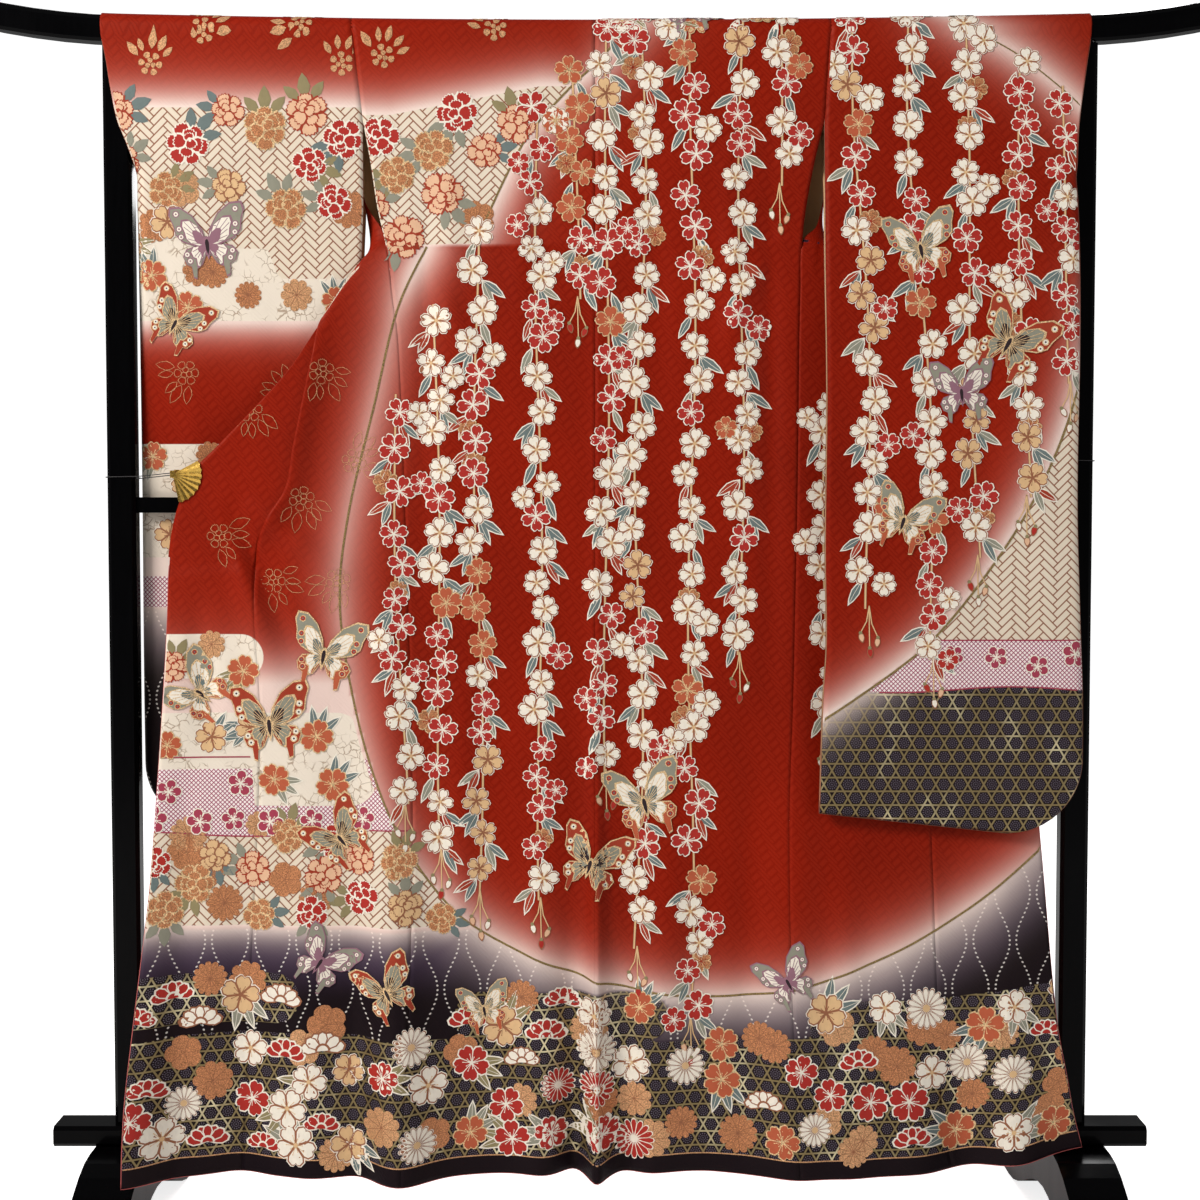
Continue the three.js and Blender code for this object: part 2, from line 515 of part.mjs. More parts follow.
const RIGHT_SLEEVE = {
  half: RIGHT,
  bottom: 562, round: 100, shear: 27, closedBelow: 1446,
  innerEdge: [
    { z: 1515, x: 300 }, { z: 1329, x: 298.5 }, { z: 1141, x: 301 }, { z: 938, x: 300 },
    { z: 802, x: 302 }, { z: 720, x: 298 }, { z: 562, x: 294 },
  ],
  near: [
    { z: 1633, out: 656, yIn: -19, yOut: -19 }, { z: 1600, out: 651, yIn: -19, yOut: -20 },
    { z: 1560, out: 645, yIn: -19.6, yOut: -24 }, { z: 1515, out: 638, yIn: -20.3, yOut: -32 },
    { z: 1485, out: 635, yIn: -26, yOut: -38 }, { z: 1446, out: 633, yIn: -35, yOut: -45 },
    { z: 1400, out: 634.5, yIn: -46, yOut: -53 }, { z: 1300, out: 636, yIn: -60, yOut: -62 },
    { z: 1200, out: 636, yIn: -65, yOut: -65 }, { z: 1006, out: 635, yIn: -65, yOut: -65 },
    { z: 835, out: 641, yIn: -66, yOut: -66 }, { z: 740, out: 645, yIn: -66, yOut: -66 },
    { z: 562, out: 646, yIn: -66, yOut: -66 },
  ],
  far: [
    { z: 1633, out: 656, yIn: 19, yOut: 19 }, { z: 1600, out: 645, yIn: 19, yOut: 19.3 },
    { z: 1565, out: 626.8, yIn: 18.6, yOut: 18.6 }, { z: 1515, out: 624.5, yIn: 16, yOut: 9 },
    { z: 1485, out: 624.5, yIn: 8, yOut: -3 }, { z: 1446, out: 627, yIn: -8, yOut: -21 },
    { z: 1400, out: 634.5, yIn: -26, yOut: -35 }, { z: 1300, out: 636, yIn: -43, yOut: -46 },
    { z: 1200, out: 636, yIn: -51, yOut: -51 }, { z: 1006, out: 635, yIn: -51, yOut: -51 },
    { z: 835, out: 641, yIn: -51.5, yOut: -51.5 }, { z: 562, out: 646, yIn: -51.5, yOut: -51.5 },
  ],
};

const SLEEVE_COLUMNS = [0, 0.14, 0.3, 0.47, 0.64, 0.79, 0.9, 0.963, 0.989, 1]; // inner to outer
const SLEEVE_LEVELS = [0, 2.5, 9, 24, 48, 100, 180, 310, 444, 590, 680, 760, 838, 894, 923, 953, 998, 1038];

function sleeve(spec) {
  const { side } = spec.half;
  const inner = lineThrough(spec.innerEdge, "z", "x");
  const innerX = (z) =>
    (z > spec.half.armhole.endLevel ? armholeX(spec.half, z) : inner(z)) + (side * SEAM) / 2;
  const layer = (rows) => ({
    out: lineThrough(rows, "z", "out"),
    yIn: lineThrough(rows, "z", "yIn"),
    yOut: lineThrough(rows, "z", "yOut"),
  });
  const near = layer(spec.near);
  const far = layer(spec.far);
  // How far the outline is drawn in by the rounded lower corner, and how far a point is
  // from the nearest closed edge.
  const drawnIn = (rise) =>
    rise < spec.round ? spec.round - Math.sqrt(spec.round ** 2 - (spec.round - rise) ** 2) : 0;
  const fromSeal = (toOuter, rise) =>
    toOuter < spec.round && rise < spec.round
      ? spec.round - Math.hypot(spec.round - toOuter, spec.round - rise)
      : Math.min(toOuter, rise);
  const rows = [
    ...SLEEVE_LEVELS.map((rise) => ({ rise, face: near, sign: -1 })),
    ...FOLD_TURNS.map((turn) => ({ turn })),
    ...[...SLEEVE_LEVELS].reverse().map((rise) => ({ rise, face: far, sign: 1 })),
  ];
  const outwards = (u) => (side > 0 ? u : 1 - u);
  const middle = (t, z) =>
    (lerp(near.yIn(z), near.yOut(z), t) + lerp(far.yIn(z), far.yOut(z), t)) / 2;
  const point = (u, row) => {
    const t = outwards(u);
    if (row.turn !== undefined) {
      const height = railAxis(0) + WRAP * Math.sin(THREE.MathUtils.degToRad(row.turn));
      return overRail(lerp(innerX(height), near.out(height), t), row.turn);
    }
    const level = spec.bottom + row.rise;
    const edge = row.face.out(level);
    const x = lerp(innerX(level), edge - side * drawnIn(row.rise), t);
    const z = level + spec.shear * (1 - t) * smooth(1100, spec.bottom, level);
    const open = lerp(row.face.yIn(level), row.face.yOut(level), t);
    const seal = clamp(fromSeal(Math.abs(edge - x), row.rise) / SLEEVE_SEAL, 0, 1);
    const parted = Math.sqrt(1 - (1 - seal) ** 2);
    const centre = middle(t, level) + (row.sign * SEAM) / 2;
    const closed = smooth(spec.closedBelow + 12, spec.closedBelow - 14, level);
    return new THREE.Vector3(x, lerp(open, lerp(centre, open, parted), closed), z);
  };
  const settle = (inside, outside, u, row) => {
    if (outwards(u) === 0) inside.x = outside.x;
    if (row.turn !== undefined) return;
    const centre = middle(outwards(u), spec.bottom + row.rise) + (row.sign * SEAM) / 2;
    inside.y = row.sign < 0 ? Math.min(inside.y, centre) : Math.max(inside.y, centre);
  };
  const columns = side > 0 ? SLEEVE_COLUMNS : SLEEVE_COLUMNS.map((u) => 1 - u).reverse();
  return clothWall(point, columns, rows, CLOTH, settle);
}

// ---- Clips and ties: a small brass fan on each front edge, tied to the post -------------

const wasm = await Module();
wasm.setup();

function toManifold(geometry) {
  const plain = geometry.clone();
  plain.deleteAttribute("normal");
  plain.deleteAttribute("uv");
  const merged = mergeVertices(plain, 1e-3);
  const count = merged.attributes.position.count;
  const triVerts = new Uint32Array(merged.index ? merged.index.array : [...Array(count).keys()]);
  return new wasm.Manifold(
    new wasm.Mesh({ numProp: 3, vertProperties: merged.attributes.position.array, triVerts }),
  );
}

function fromManifold(solid) {
  const mesh = solid.getMesh();
  const geometry = new THREE.BufferGeometry();
  geometry.setAttribute("position", new THREE.BufferAttribute(mesh.vertProperties, 3));
  geometry.setIndex(new THREE.BufferAttribute(mesh.triVerts, 1));
  geometry.computeVertexNormals();
  return geometry;
}

const FAN = { radius: 40, ribs: 8, plate: 2, jaw: 30, jawWidth: 12, knuckle: 7 };
const TIE = { radius: 0.6, clear: 0.8, steps: 44 };

// The two leaves of the clip lie before and behind the layers that it grips.
function clipDepths({ clip, side }) {
  const depths = [0.3, 0.6, 0.9].flatMap((t) =>
    [-1, 0, 1].map((k) => curtainDepth(clip.x - side * FAN.radius * t, clip.z + k * FAN.radius * 0.7)),
  );
  const collarBack = LAP_DEPTH + CLOTH + COLLAR_BEHIND + COLLAR_CLOTH;
  return {
    front: Math.min(...depths) + LAP_DEPTH - SEAM,
    back: Math.max(...depths) + collarBack + SEAM,
  };
}

function fanClip(half) {
  const { clip, side } = half;
  const { front, back } = clipDepths(half);
  const outline = new THREE.Shape();
  outline.moveTo(0, 0);
  for (let k = 0; k <= FAN.ribs * 2; k++) {
    const angle = THREE.MathUtils.degToRad(lerp(clip.from, clip.to, k / (FAN.ribs * 2)));
    const radius = FAN.radius - (k % 2 === 0 ? 1.6 : 0);
    outline.lineTo(radius * Math.cos(angle), radius * Math.sin(angle));
  }
  const leaf = new THREE.ExtrudeGeometry(outline, { depth: FAN.plate, bevelEnabled: false })
    .rotateX(Math.PI / 2)
    .translate(clip.x, front, clip.z);
  const depth = back - front + FAN.plate * 2;
  const knuckle = new THREE.BoxGeometry(FAN.knuckle, depth, FAN.knuckle * 1.4)
    .translate(clip.x, front - FAN.plate + depth / 2, clip.z);
  const jaw = new THREE.BoxGeometry(FAN.jaw, FAN.plate, FAN.jawWidth)
    .translate(clip.x - (side * FAN.jaw) / 2, back + FAN.plate / 2, clip.z);
  return fromManifold(toManifold(leaf).add(toManifold(knuckle)).add(toManifold(jaw)));
}

// A cord from the clip's knuckle round the post and back.
function tie(half) {
  const { clip, side } = half;
  const middle = (clipDepths(half).front + clipDepths(half).back) / 2;
  const off = TIE.radius + TIE.clear;
  const [inX, outX] = [POST.x - POST.width / 2 - off, POST.x + POST.width / 2 + off];
  const y = POST.depth / 2 + off;
  const round = POST.chamfer;
  const start = Math.abs(clip.x) + FAN.knuckle / 2 + 1;
  const route = [
    [start, middle, clip.z + 1.4], [inX - 8, -y - 5, clip.tieZ + 1.5], [inX + round, -y - 0.4, clip.tieZ + 1],
    [outX - round, -y, clip.tieZ + 0.5], [outX, round - y, clip.tieZ], [outX, y - round, clip.tieZ],
    [outX - round, y, clip.tieZ], [inX + round, y, clip.tieZ - 0.5], [inX, y - round, clip.tieZ - 1],
    [inX, round - y, clip.tieZ - 1.5], [inX - 9, -y - 3, clip.tieZ - 1.5], [start, middle, clip.z - 1.4],
  ];
  const curve = new THREE.CatmullRomCurve3(
    route.map(([x, depth, z]) => new THREE.Vector3(side * x, depth, z)), false, "centripetal",
  );
  const section = new THREE.Shape();
  for (let k = 0; k < 8; k++) {
    const angle = (k / 8) * 2 * Math.PI;
    const place = [TIE.radius * Math.cos(angle), TIE.radius * Math.sin(angle)];
    if (k === 0) section.moveTo(...place);
    else section.lineTo(...place);
  }
  return new THREE.ExtrudeGeometry(section, { steps: TIE.steps, extrudePath: curve, bevelEnabled: false });
}

// ---- The assembly ----------------------------------------------------------------------

const root = new THREE.Group();

function place(name, geometry, finish, at = [0, 0, 0]) {
  const mesh = new THREE.Mesh(geometry, new THREE.MeshStandardMaterial(finish));
  mesh.name = name;
  mesh.position.set(...at);
  root.add(mesh);
  return mesh;
}

place("top_rail", topRail(), LACQUER);
const postFoot = LOWER_RAIL.bottom + LOWER_RAIL.height + SEAM;
const postTop = railAxis(POST.x - POST.width / 2) - RAIL.height + RAIL.width / 2 - SEAM;
const postBar = () => chamferedBar(POST.width, POST.depth, postTop - postFoot, POST.chamfer);
place("post_left", postBar(), LACQUER, [-POST.x, 0, postFoot]);
place("post_right", postBar(), LACQUER, [POST.x, 0, postFoot]);
const midLength = 2 * (POST.x - POST.width / 2 - SEAM);
place("mid_rail", chamferedBar(MID_RAIL.height, MID_RAIL.depth, midLength, MID_RAIL.chamfer), LACQUER, [
  -midLength / 2, 0, MID_RAIL.bottom + MID_RAIL.height / 2,
]).rotation.y = Math.PI / 2;
const lowerBar = chamferedBar(LOWER_RAIL.height, LOWER_RAIL.depth, 2 * LOWER_RAIL.half, LOWER_RAIL.chamfer);
place("lower_rail", lowerBar, LACQUER, [
  -LOWER_RAIL.half, 0, LOWER_RAIL.bottom + LOWER_RAIL.height / 2,
]).rotation.y = Math.PI / 2;
place("foot_left", foot(), LACQUER, [-FOOT.x, 0, 0]);
place("foot_right", foot(), LACQUER, [FOOT.x, 0, 0]);

for (const [name, half] of [["left", LEFT], ["right", RIGHT]]) {
  place("back_" + name, backPanel(half), RED_SILK);
  place("front_" + name, frontPanel(half), RED_SILK);
  place("overlap_" + name, overlapPanel(half), RED_SILK);
  place("collar_" + name, frontCollar(half), RED_SILK);
  place("clip_" + name, fanClip(half), GOLD);
  place("tie_" + name, tie(half), CORD);
}
place("collar_neck", neckCollar(), RED_SILK);
place("sleeve_left", sleeve(LEFT_SLEEVE), RED_SILK);
place("sleeve_right", sleeve(RIGHT_SLEEVE), RED_SILK);

export default root;
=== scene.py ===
import math
import random

import bmesh
import bpy
import numpy as np
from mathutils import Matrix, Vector
from mathutils.noise import noise


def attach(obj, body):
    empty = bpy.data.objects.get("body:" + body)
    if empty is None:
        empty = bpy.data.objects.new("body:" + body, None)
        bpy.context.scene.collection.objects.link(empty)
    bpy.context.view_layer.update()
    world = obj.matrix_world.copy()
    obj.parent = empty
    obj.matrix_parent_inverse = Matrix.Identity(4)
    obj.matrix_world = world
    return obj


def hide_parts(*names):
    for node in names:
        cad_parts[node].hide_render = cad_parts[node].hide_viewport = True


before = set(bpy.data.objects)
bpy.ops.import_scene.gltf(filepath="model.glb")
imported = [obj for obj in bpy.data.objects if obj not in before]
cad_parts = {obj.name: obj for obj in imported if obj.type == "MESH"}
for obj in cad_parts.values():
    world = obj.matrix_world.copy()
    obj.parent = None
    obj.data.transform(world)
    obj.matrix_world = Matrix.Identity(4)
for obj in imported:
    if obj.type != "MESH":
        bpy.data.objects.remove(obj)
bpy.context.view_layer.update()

# ---- Room ---------------------------------------------------------------------------------
# A plain pale floor in soft studio light, with the camera square to the back of the garment,
# 2.8 m away, just above the middle of the stand and tipped down a little.

bpy.context.scene.view_settings.view_transform = "Standard"


def new_material(name, **sockets):
    material = bpy.data.materials.new(name)
    material.use_nodes = True
    shader = material.node_tree.nodes["Principled BSDF"]
    for socket, value in sockets.items():
        shader.inputs[socket.replace("_", " ")].default_value = value
    return material, material.node_tree, shader


def join(socket, value):
    if isinstance(value, bpy.types.NodeSocket):
        socket.id_data.links.new(value, socket)
    else:
        socket.default_value = value


def calc(operation, *values):
    """A sum that is worked out at every point of a surface. At least one value is a socket."""
    tree = next(value.id_data for value in values if isinstance(value, bpy.types.NodeSocket))
    node = tree.nodes.new("ShaderNodeMath")
    node.operation = operation
    for socket, value in zip(node.inputs, values):
        join(socket, value)
    return node.outputs[0]


def mix(factor, below, above):
    node = factor.id_data.nodes.new("ShaderNodeMix")
    node.data_type = "RGBA"
    join(node.inputs["Factor"], factor)
    join(node.inputs["A"], below)
    join(node.inputs["B"], above)
    return node.outputs["Result"]


def noise_at(vector, scale, detail=2.0, roughness=0.5):
    node = vector.id_data.nodes.new("ShaderNodeTexNoise")
    join(node.inputs["Vector"], vector)
    node.inputs["Scale"].default_value = scale
    node.inputs["Detail"].default_value = detail
    node.inputs["Roughness"].default_value = roughness
    return node.outputs["Fac"]


def bump(shader, height, distance, strength=1.0):
    node = height.id_data.nodes.new("ShaderNodeBump")
    node.inputs["Distance"].default_value = distance
    node.inputs["Strength"].default_value = strength
    join(node.inputs["Height"], height)
    join(shader.inputs["Normal"], node.outputs["Normal"])


def stretched(vector, scale=(1, 1, 1), turn=0.0):
    node = vector.id_data.nodes.new("ShaderNodeMapping")
    join(node.inputs["Vector"], vector)
    node.inputs["Scale"].default_value = scale
    node.inputs["Rotation"].default_value = (0, 0, turn)
    return node.outputs["Vector"]


def place_mesh(name, bm, *materials):
    mesh = bpy.data.meshes.new(name)
    bm.to_mesh(mesh)
    bm.free()
    for material in materials:
        mesh.materials.append(material)
    piece = bpy.data.objects.new(name, mesh)
    bpy.context.collection.objects.link(piece)
    return piece


FLOOR_HALF = 14.0
WHITE_SEEN, SKY_LIGHT, LESS_IN_GLOSS = 0.8, 0.28, 0.14
paper, tree, shader = new_material("studio paper", Roughness=0.9, Base_Color=(0.88, 0.88, 0.88, 1),
                                   Emission_Color=(1, 1, 1, 1))
seen = tree.nodes.new("ShaderNodeLightPath").outputs
join(shader.inputs["Emission Strength"], calc("MULTIPLY", seen["Is Camera Ray"], WHITE_SEEN))
floor_bm = bmesh.new()
bmesh.ops.create_grid(floor_bm, x_segments=4, y_segments=4, size=FLOOR_HALF)
floor = place_mesh("floor", floor_bm, paper)
floor.location.z = -0.0005

world = bpy.data.worlds.new("studio")
world.use_nodes = True
sky = world.node_tree.nodes["Background"]
seen = world.node_tree.nodes.new("ShaderNodeLightPath").outputs
sky.inputs["Color"].default_value = (1.0, 1.0, 1.0, 1)
white_sky = calc("MULTIPLY", seen["Is Camera Ray"], WHITE_SEEN)
light_sky = calc("SUBTRACT", SKY_LIGHT, calc("MULTIPLY", seen["Is Glossy Ray"], LESS_IN_GLOSS))
join(sky.inputs["Strength"], calc("ADD", white_sky, light_sky))
bpy.context.scene.world = world

# name, place, size, power, colour
LIGHTS = [
    ("key", (-2.7, -2.2, 3.1), (1.1, 1.1), 150, (1.0, 0.97, 0.93)),
    ("fill", (2.9, -3.0, 1.7), (1.6, 2.2), 20, (0.97, 0.98, 1.0)),
    ("back", (0.4, 3.2, 2.6), (2.4, 1.6), 72, (1.0, 1.0, 1.0)),
]
for light_name, light_place, light_size, power, colour in LIGHTS:
    lamp = bpy.data.lights.new(light_name, "AREA")
    lamp.shape = "RECTANGLE"
    lamp.size, lamp.size_y = light_size
    lamp.energy = power
    lamp.color = colour
    holder = bpy.data.objects.new(light_name, lamp)
    holder.location = light_place
    aim = Vector((0, 0, 0.9)) - holder.location
    holder.rotation_mode = "QUATERNION"
    holder.rotation_quaternion = aim.to_track_quat("-Z", "Y")
    bpy.context.collection.objects.link(holder)

CAMERA = {"distance": 2.8, "height": 1.019, "tip": 3.0, "lens": 61.77, "sensor": 36.0}
camera = bpy.data.objects.new("camera", bpy.data.cameras.new("camera"))
camera.data.lens = CAMERA["lens"]
camera.data.sensor_width = CAMERA["sensor"]
camera.location = (0, -CAMERA["distance"], CAMERA["height"])
camera.rotation_euler = (math.radians(90 - CAMERA["tip"]), 0, 0)
bpy.context.collection.objects.link(camera)
bpy.context.scene.camera = camera

# ---- The stand ----------------------------------------------------------------------------
# Seven lengths of wood, pegged together and finished in black gloss lacquer. The polish
# leaves a faint ripple, and a fine grain shows in the black.


def on_object(tree):
    return tree.nodes.new("ShaderNodeTexCoord").outputs["Object"]


lacquer, tree, shader = new_material("black lacquer", Roughness=0.16, Coat_Weight=0.03, Coat_Roughness=0.03,
                                     Specular_IOR_Level=0.05)
ripple = noise_at(stretched(on_object(tree), (6, 6, 2)), 3.0)
grain = noise_at(stretched(on_object(tree), (90, 90, 9)), 2.0, 4.0)
join(shader.inputs["Base Color"], mix(grain, (0.0004, 0.0004, 0.0006, 1), (0.0016, 0.0015, 0.0018, 1)))
join(shader.inputs["Roughness"], calc("MULTIPLY_ADD", ripple, 0.16, 0.1))
bump(shader, ripple, 0.0006, 0.35)

STAND = ["top_rail", "post_left", "post_right", "mid_rail", "lower_rail", "foot_left", "foot_right"]
for node in STAND:
    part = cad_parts[node]
    part.data.materials.clear()
    part.data.materials.append(lacquer)

# ---- How the cloth hangs ------------------------------------------------------------------
# Every panel hangs from the top rail. Its length runs down the straight depth line, and soft
# creases stand out from that line or fall back from it. Sizes here are millimetres.

MM = 0.001
CLOTH, COLLAR_CLOTH, SEAM = 1.6, 3.0, 0.3
SILK = 1.3  # silk and lining together, a little under the room that they have
RAIL = {"half": 890, "width": 34, "top": 1650, "bow": 8, "bow_at": 650, "tip_rise": 30, "tip_from": 640}
WRAP = RAIL["width"] / 2 + 0.4 + CLOTH
SHOULDER_DROP = 45
CENTRE_SEAM_X = -6.5
NECK_HALF = 95.5
HEM_LEVEL, HEM_EVENS_OUT_AT = 104, 420
TUCK_LEVEL = 1348  # the tuck stands a little proud, along its lower lip


def lerp(a, b, t):
    return a + (b - a) * t


def clamp(value, low, high):
    return max(low, min(high, value))


def smooth(start, end, value):
    t = clamp((value - start) / (end - start), 0, 1)
    return t * t * (3 - 2 * t)


def line_through(rows):
    """A smooth line through (at, value) rows, read at any value of the first column."""
    if rows[0][0] > rows[-1][0]:
        rows = rows[::-1]
    last = len(rows) - 1
    slopes = []
    for i in range(len(rows)):
        before, after = rows[max(i - 1, 0)], rows[min(i + 1, last)]
        slopes.append((after[1] - before[1]) / (after[0] - before[0]))

    def read(at):
        i = 0
        while i < last - 1 and at > rows[i + 1][0]:
            i += 1
        span = rows[i + 1][0] - rows[i][0]
        t = clamp((at - rows[i][0]) / span, 0, 1)
        ease = t * t * (3 - 2 * t)
        bend = t * (1 - t) * span * ((1 - t) * slopes[i] - t * slopes[i + 1])
        return lerp(rows[i][1], rows[i + 1][1], ease) + bend

    return read


def rail_axis(x):
    top = RAIL["top"] + RAIL["bow"] * (x / RAIL["bow_at"]) ** 2
    tip = max(abs(x) - RAIL["tip_from"], 0) / (RAIL["half"] - RAIL["tip_from"])
    return top + RAIL["tip_rise"] * tip**2 - RAIL["width"] / 2


RAIL_LINE = rail_axis(0)  # where the hanging cloth begins to turn over the rail
TURN_LENGTH = math.pi * WRAP

hang_depth = line_through([
    (1634, -19), (1600, -19), (1500, -20.5), (1335, -24), (1200, -28), (1006, -31),
    (800, -34), (600, -40), (400, -56), (250, -72), (100, -86),
])

# x0, z0, x1, z1, half width at each end, how far the cloth stands forward at the start, the
# middle and the end (a minus is a trough)
FOLDS = [
    (-585, 900, -640, 70, 40, 62, 0, 14, 78), (-468, 900, -486, 70, 26, 42, 0, -4, -26),
    (-300, 1190, -264, 70, 22, 46, 0, 12, 50), (-150, 1000, -130, 70, 40, 60, 0, -5, -12),
    (-40, 900, -34, 70, 18, 24, 0, -5, -36), (-6.5, 1500, -5, 70, 7, 12, 0, 3, 24),
    (34, 900, 32, 70, 18, 26, 0, -3, -26), (150, 1100, 135, 70, 36, 60, 0, 3, -16),
    (262, 1250, 266, 70, 16, 44, 0, 4, 16), (400, 520, 402, 70, 30, 40, 0, 4, 2),
    (470, 560, 494, 70, 26, 48, 0, -6, -40), (590, 520, 652, 70, 30, 60, 0, -4, -24),
    (-500, 985, -420, 700, 14, 28, 0, 14, 0), (-545, 900, -525, 640, 14, 24, 0, -9, 0),
    (-480, 1010, -330, 890, 14, 24, 0, 11, 0), (-505, 1010, -408, 800, 9, 17, 0, -11, 0),
    # creases that only the silk has
    (-205, 1560, -196, 1100, 12, 18, 0, 3.8, 0.8), (-232, 1500, -238, 900, 9, 16, 0, -4.2, -1.4),
    (-96, 1600, -110, 1180, 14, 22, 0, 3.2, 0), (70, 1590, 84, 1000, 15, 24, 0, -2.9, -0.8),
    (168, 1600, 186, 1040, 13, 22, 0, 4.2, 1.1), (226, 1540, 232, 760, 10, 18, 0, -4.8, -1.6),
    (-246, 1340, -120, 1120, 9, 20, 0, 3.5, 0), (-230, 1400, -60, 1322, 8, 16, 0, 2.9, 0),
    (250, 1380, 140, 1180, 8, 20, 0, 3.2, 0), (-180, 900, -196, 300, 16, 26, 0, 5.4, 2),
    (96, 760, 86, 150, 20, 34, 0, 6.7, 4.1), (206, 700, 198, 150, 18, 30, 0, -6.4, -6.8),
    (-88, 620, -82, 110, 18, 26, 0, 5.6, 6.8), (330, 560, 336, 110, 18, 34, 0, 8, 9.5),
    (540, 520, 560, 120, 20, 34, 0, 8, 12.2), (-560, 700, -566, 130, 16, 26, 0, -6.4, -8.1),
    (-395, 700, -385, 110, 20, 34, 0, 6.4, 10.8), (-330, 560, -322, 110, 14, 24, 0, -6.4, -9.5),
]


def near_crease(x, z, x0, z0, x1, z1, start_width, end_width):
    """How far along a crease a point lies, 0 to 1, and its distance away in widths, squared."""
    dx, dz = x1 - x0, z1 - z0
    t = clamp(((x - x0) * dx + (z - z0) * dz) / (dx * dx + dz * dz), 0, 1)
    width = lerp(start_width, end_width, t)
    return t, ((x - x0 - t * dx) ** 2 + (z - z0 - t * dz) ** 2) / width**2


CREASE_REACH = 9  # past three widths a crease is flat


def fold_depth(x, z):
    depth = 0.0
    for x0, z0, x1, z1, start_width, end_width, start, middle, end in FOLDS:
        t, away = near_crease(x, z, x0, z0, x1, z1, start_width, end_width)
        if away < CREASE_REACH:
            height = lerp(start, middle, 2 * t) if t < 0.5 else lerp(middle, end, 2 * t - 1)
            depth += height * math.exp(-away)
    return depth


def slack(x, z, amount):
    """The small uneven waves that hanging silk has everywhere."""
    long_wave = noise(Vector((x * 0.012, z * 0.0035, 3.0)))
    short_wave = noise(Vector((x * 0.035, z * 0.014, 8.0)))
    return amount * (long_wave + 0.4 * short_wave)


def curtain_depth(x, z):
    loose = smooth(1600, 1480, z)
    tuck = 1.3 * smooth(TUCK_LEVEL - 3, TUCK_LEVEL, z) * smooth(TUCK_LEVEL + 26, TUCK_LEVEL, z)
    return hang_depth(z) - (fold_depth(x, z) + slack(x, z, 1.3)) * loose - tuck


hem_height = line_through([
    (-640, 110), (-560, 106), (-484, 104), (-263, 104), (-40, 104), (-5, 97), (32, 104),
    (135, 107), (267, 103), (405, 105), (473, 105.5), (514, 112), (650, 137),
])


def on_curtain(x, level):
    z = level + (hem_height(x) - HEM_LEVEL) * smooth(HEM_EVENS_OUT_AT, HEM_LEVEL, level)
    return Vector((x, curtain_depth(x, z), z))


def over_rail(x, length):
    """Cloth that has run this far past the line where it meets the rail."""
    axis = rail_axis(x)
    if length > TURN_LENGTH:
        return Vector((x, WRAP, axis - (length - TURN_LENGTH)))
    turn = length / WRAP
    return Vector((x, -WRAP * math.cos(turn), axis + WRAP * math.sin(turn)))


# One row per level: the level at the side seam, the seam between front and overlap, and the
# free edge of the overlap. Then the rows that go on from the side seam's top up to the
# shoulder line: the side edge, the edge at the collar, and the slack between them.
LEFT = {
    "side": -1, "armhole": (-332, 1651, -317, 1515),
    "side_seam": [
        (1515, -317), (1460, -307), (1400, -298), (1335, -284), (1270, -277), (1222, -270.5),
        (1008, -262), (605, -252), (341, -254), (104, -263),
    ],
    "front": [
        (104, -484, 104, -626, 104), (150, -482, 150, -626.5, 150), (210, -479, 210, -625.5, 210),
        (290, -475, 290, -620, 290), (380, -471, 380, -613, 380), (480, -466, 480, -605, 480),
        (600, -461, 600, -597, 600), (740, -459, 740, -588, 740), (850, -464, 850, -582.5, 840),
        (930, -463, 937, -579, 930), (1000, -446, 984, -567, 1000), (1060, -421, 1026, -553, 1040),
        (1150, -411, 1080, -509, 1086), (1230, -398, 1142, -455, 1142),
        (1290, -386, 1197, -417, 1184), (1335, -374, 1250, -380, 1238),
    ],
    "pouch": [
        (-291, -10, 1368, -340, -21, 1283, 4, -12), (-319, 3, 1412, -297, -14, 1309, 26, 12),
        (-323, 8, 1462, -252, -4, 1350, 44, 26), (-322.5, 13, 1515, -203, 9, 1410, 38, 26),
        (-321, 17, 1552, -150, 17, 1490, 18, 12),
        (-323.5, 19, 1587.5, -NECK_HALF, 19, 1587.5, 0, 0),
    ],
    "overhang": (1262, 930, 11, 26),
}
RIGHT = {
    "side": 1, "armhole": (309, 1651, 300, 1515),
    "side_seam": [
        (1515, 300), (1460, 287), (1400, 276), (1352, 270.5), (1276, 268), (1222, 267),
        (1008, 265), (740, 260), (566, 255), (341, 258), (104, 267),
    ],
    "front": [
        (104, 477, 104, 650, 104), (150, 467, 150, 639, 150), (210, 460, 210, 629, 210),
        (290, 456, 290, 616, 290), (380, 453, 380, 608, 380), (480, 450, 480, 600, 480),
        (600, 446, 600, 590, 600), (740, 445, 740, 583, 740), (850, 449, 850, 577, 840),
        (930, 448, 937, 573, 930), (1000, 433, 984, 561, 1003), (1060, 410, 1034, 549, 1050),
        (1150, 399, 1090, 503, 1096), (1230, 387, 1152, 447, 1153), (1290, 374, 1208, 405, 1197),
        (1352, 361, 1262, 367, 1250),
    ],
    "pouch": [
        (292, -10, 1378, 327, -21, 1294, 4, -12), (304, 3, 1424, 285, -14, 1320, 26, 12),
        (306, 8, 1468, 243, -4, 1358, 44, 26), (305.5, 12, 1520, 198, 9, 1415, 38, 26),
        (304, 16, 1554, 148, 17, 1492, 18, 12),
        (304.3, 19, 1587.5, NECK_HALF, 19, 1587.5, 0, 0),
    ],
    "overhang": (1262, 930, 4, 26),
}


def armhole_x(half, z):
    top, top_level, end, end_level = half["armhole"]
    return lerp(end, top, (z - end_level) / (top_level - end_level))


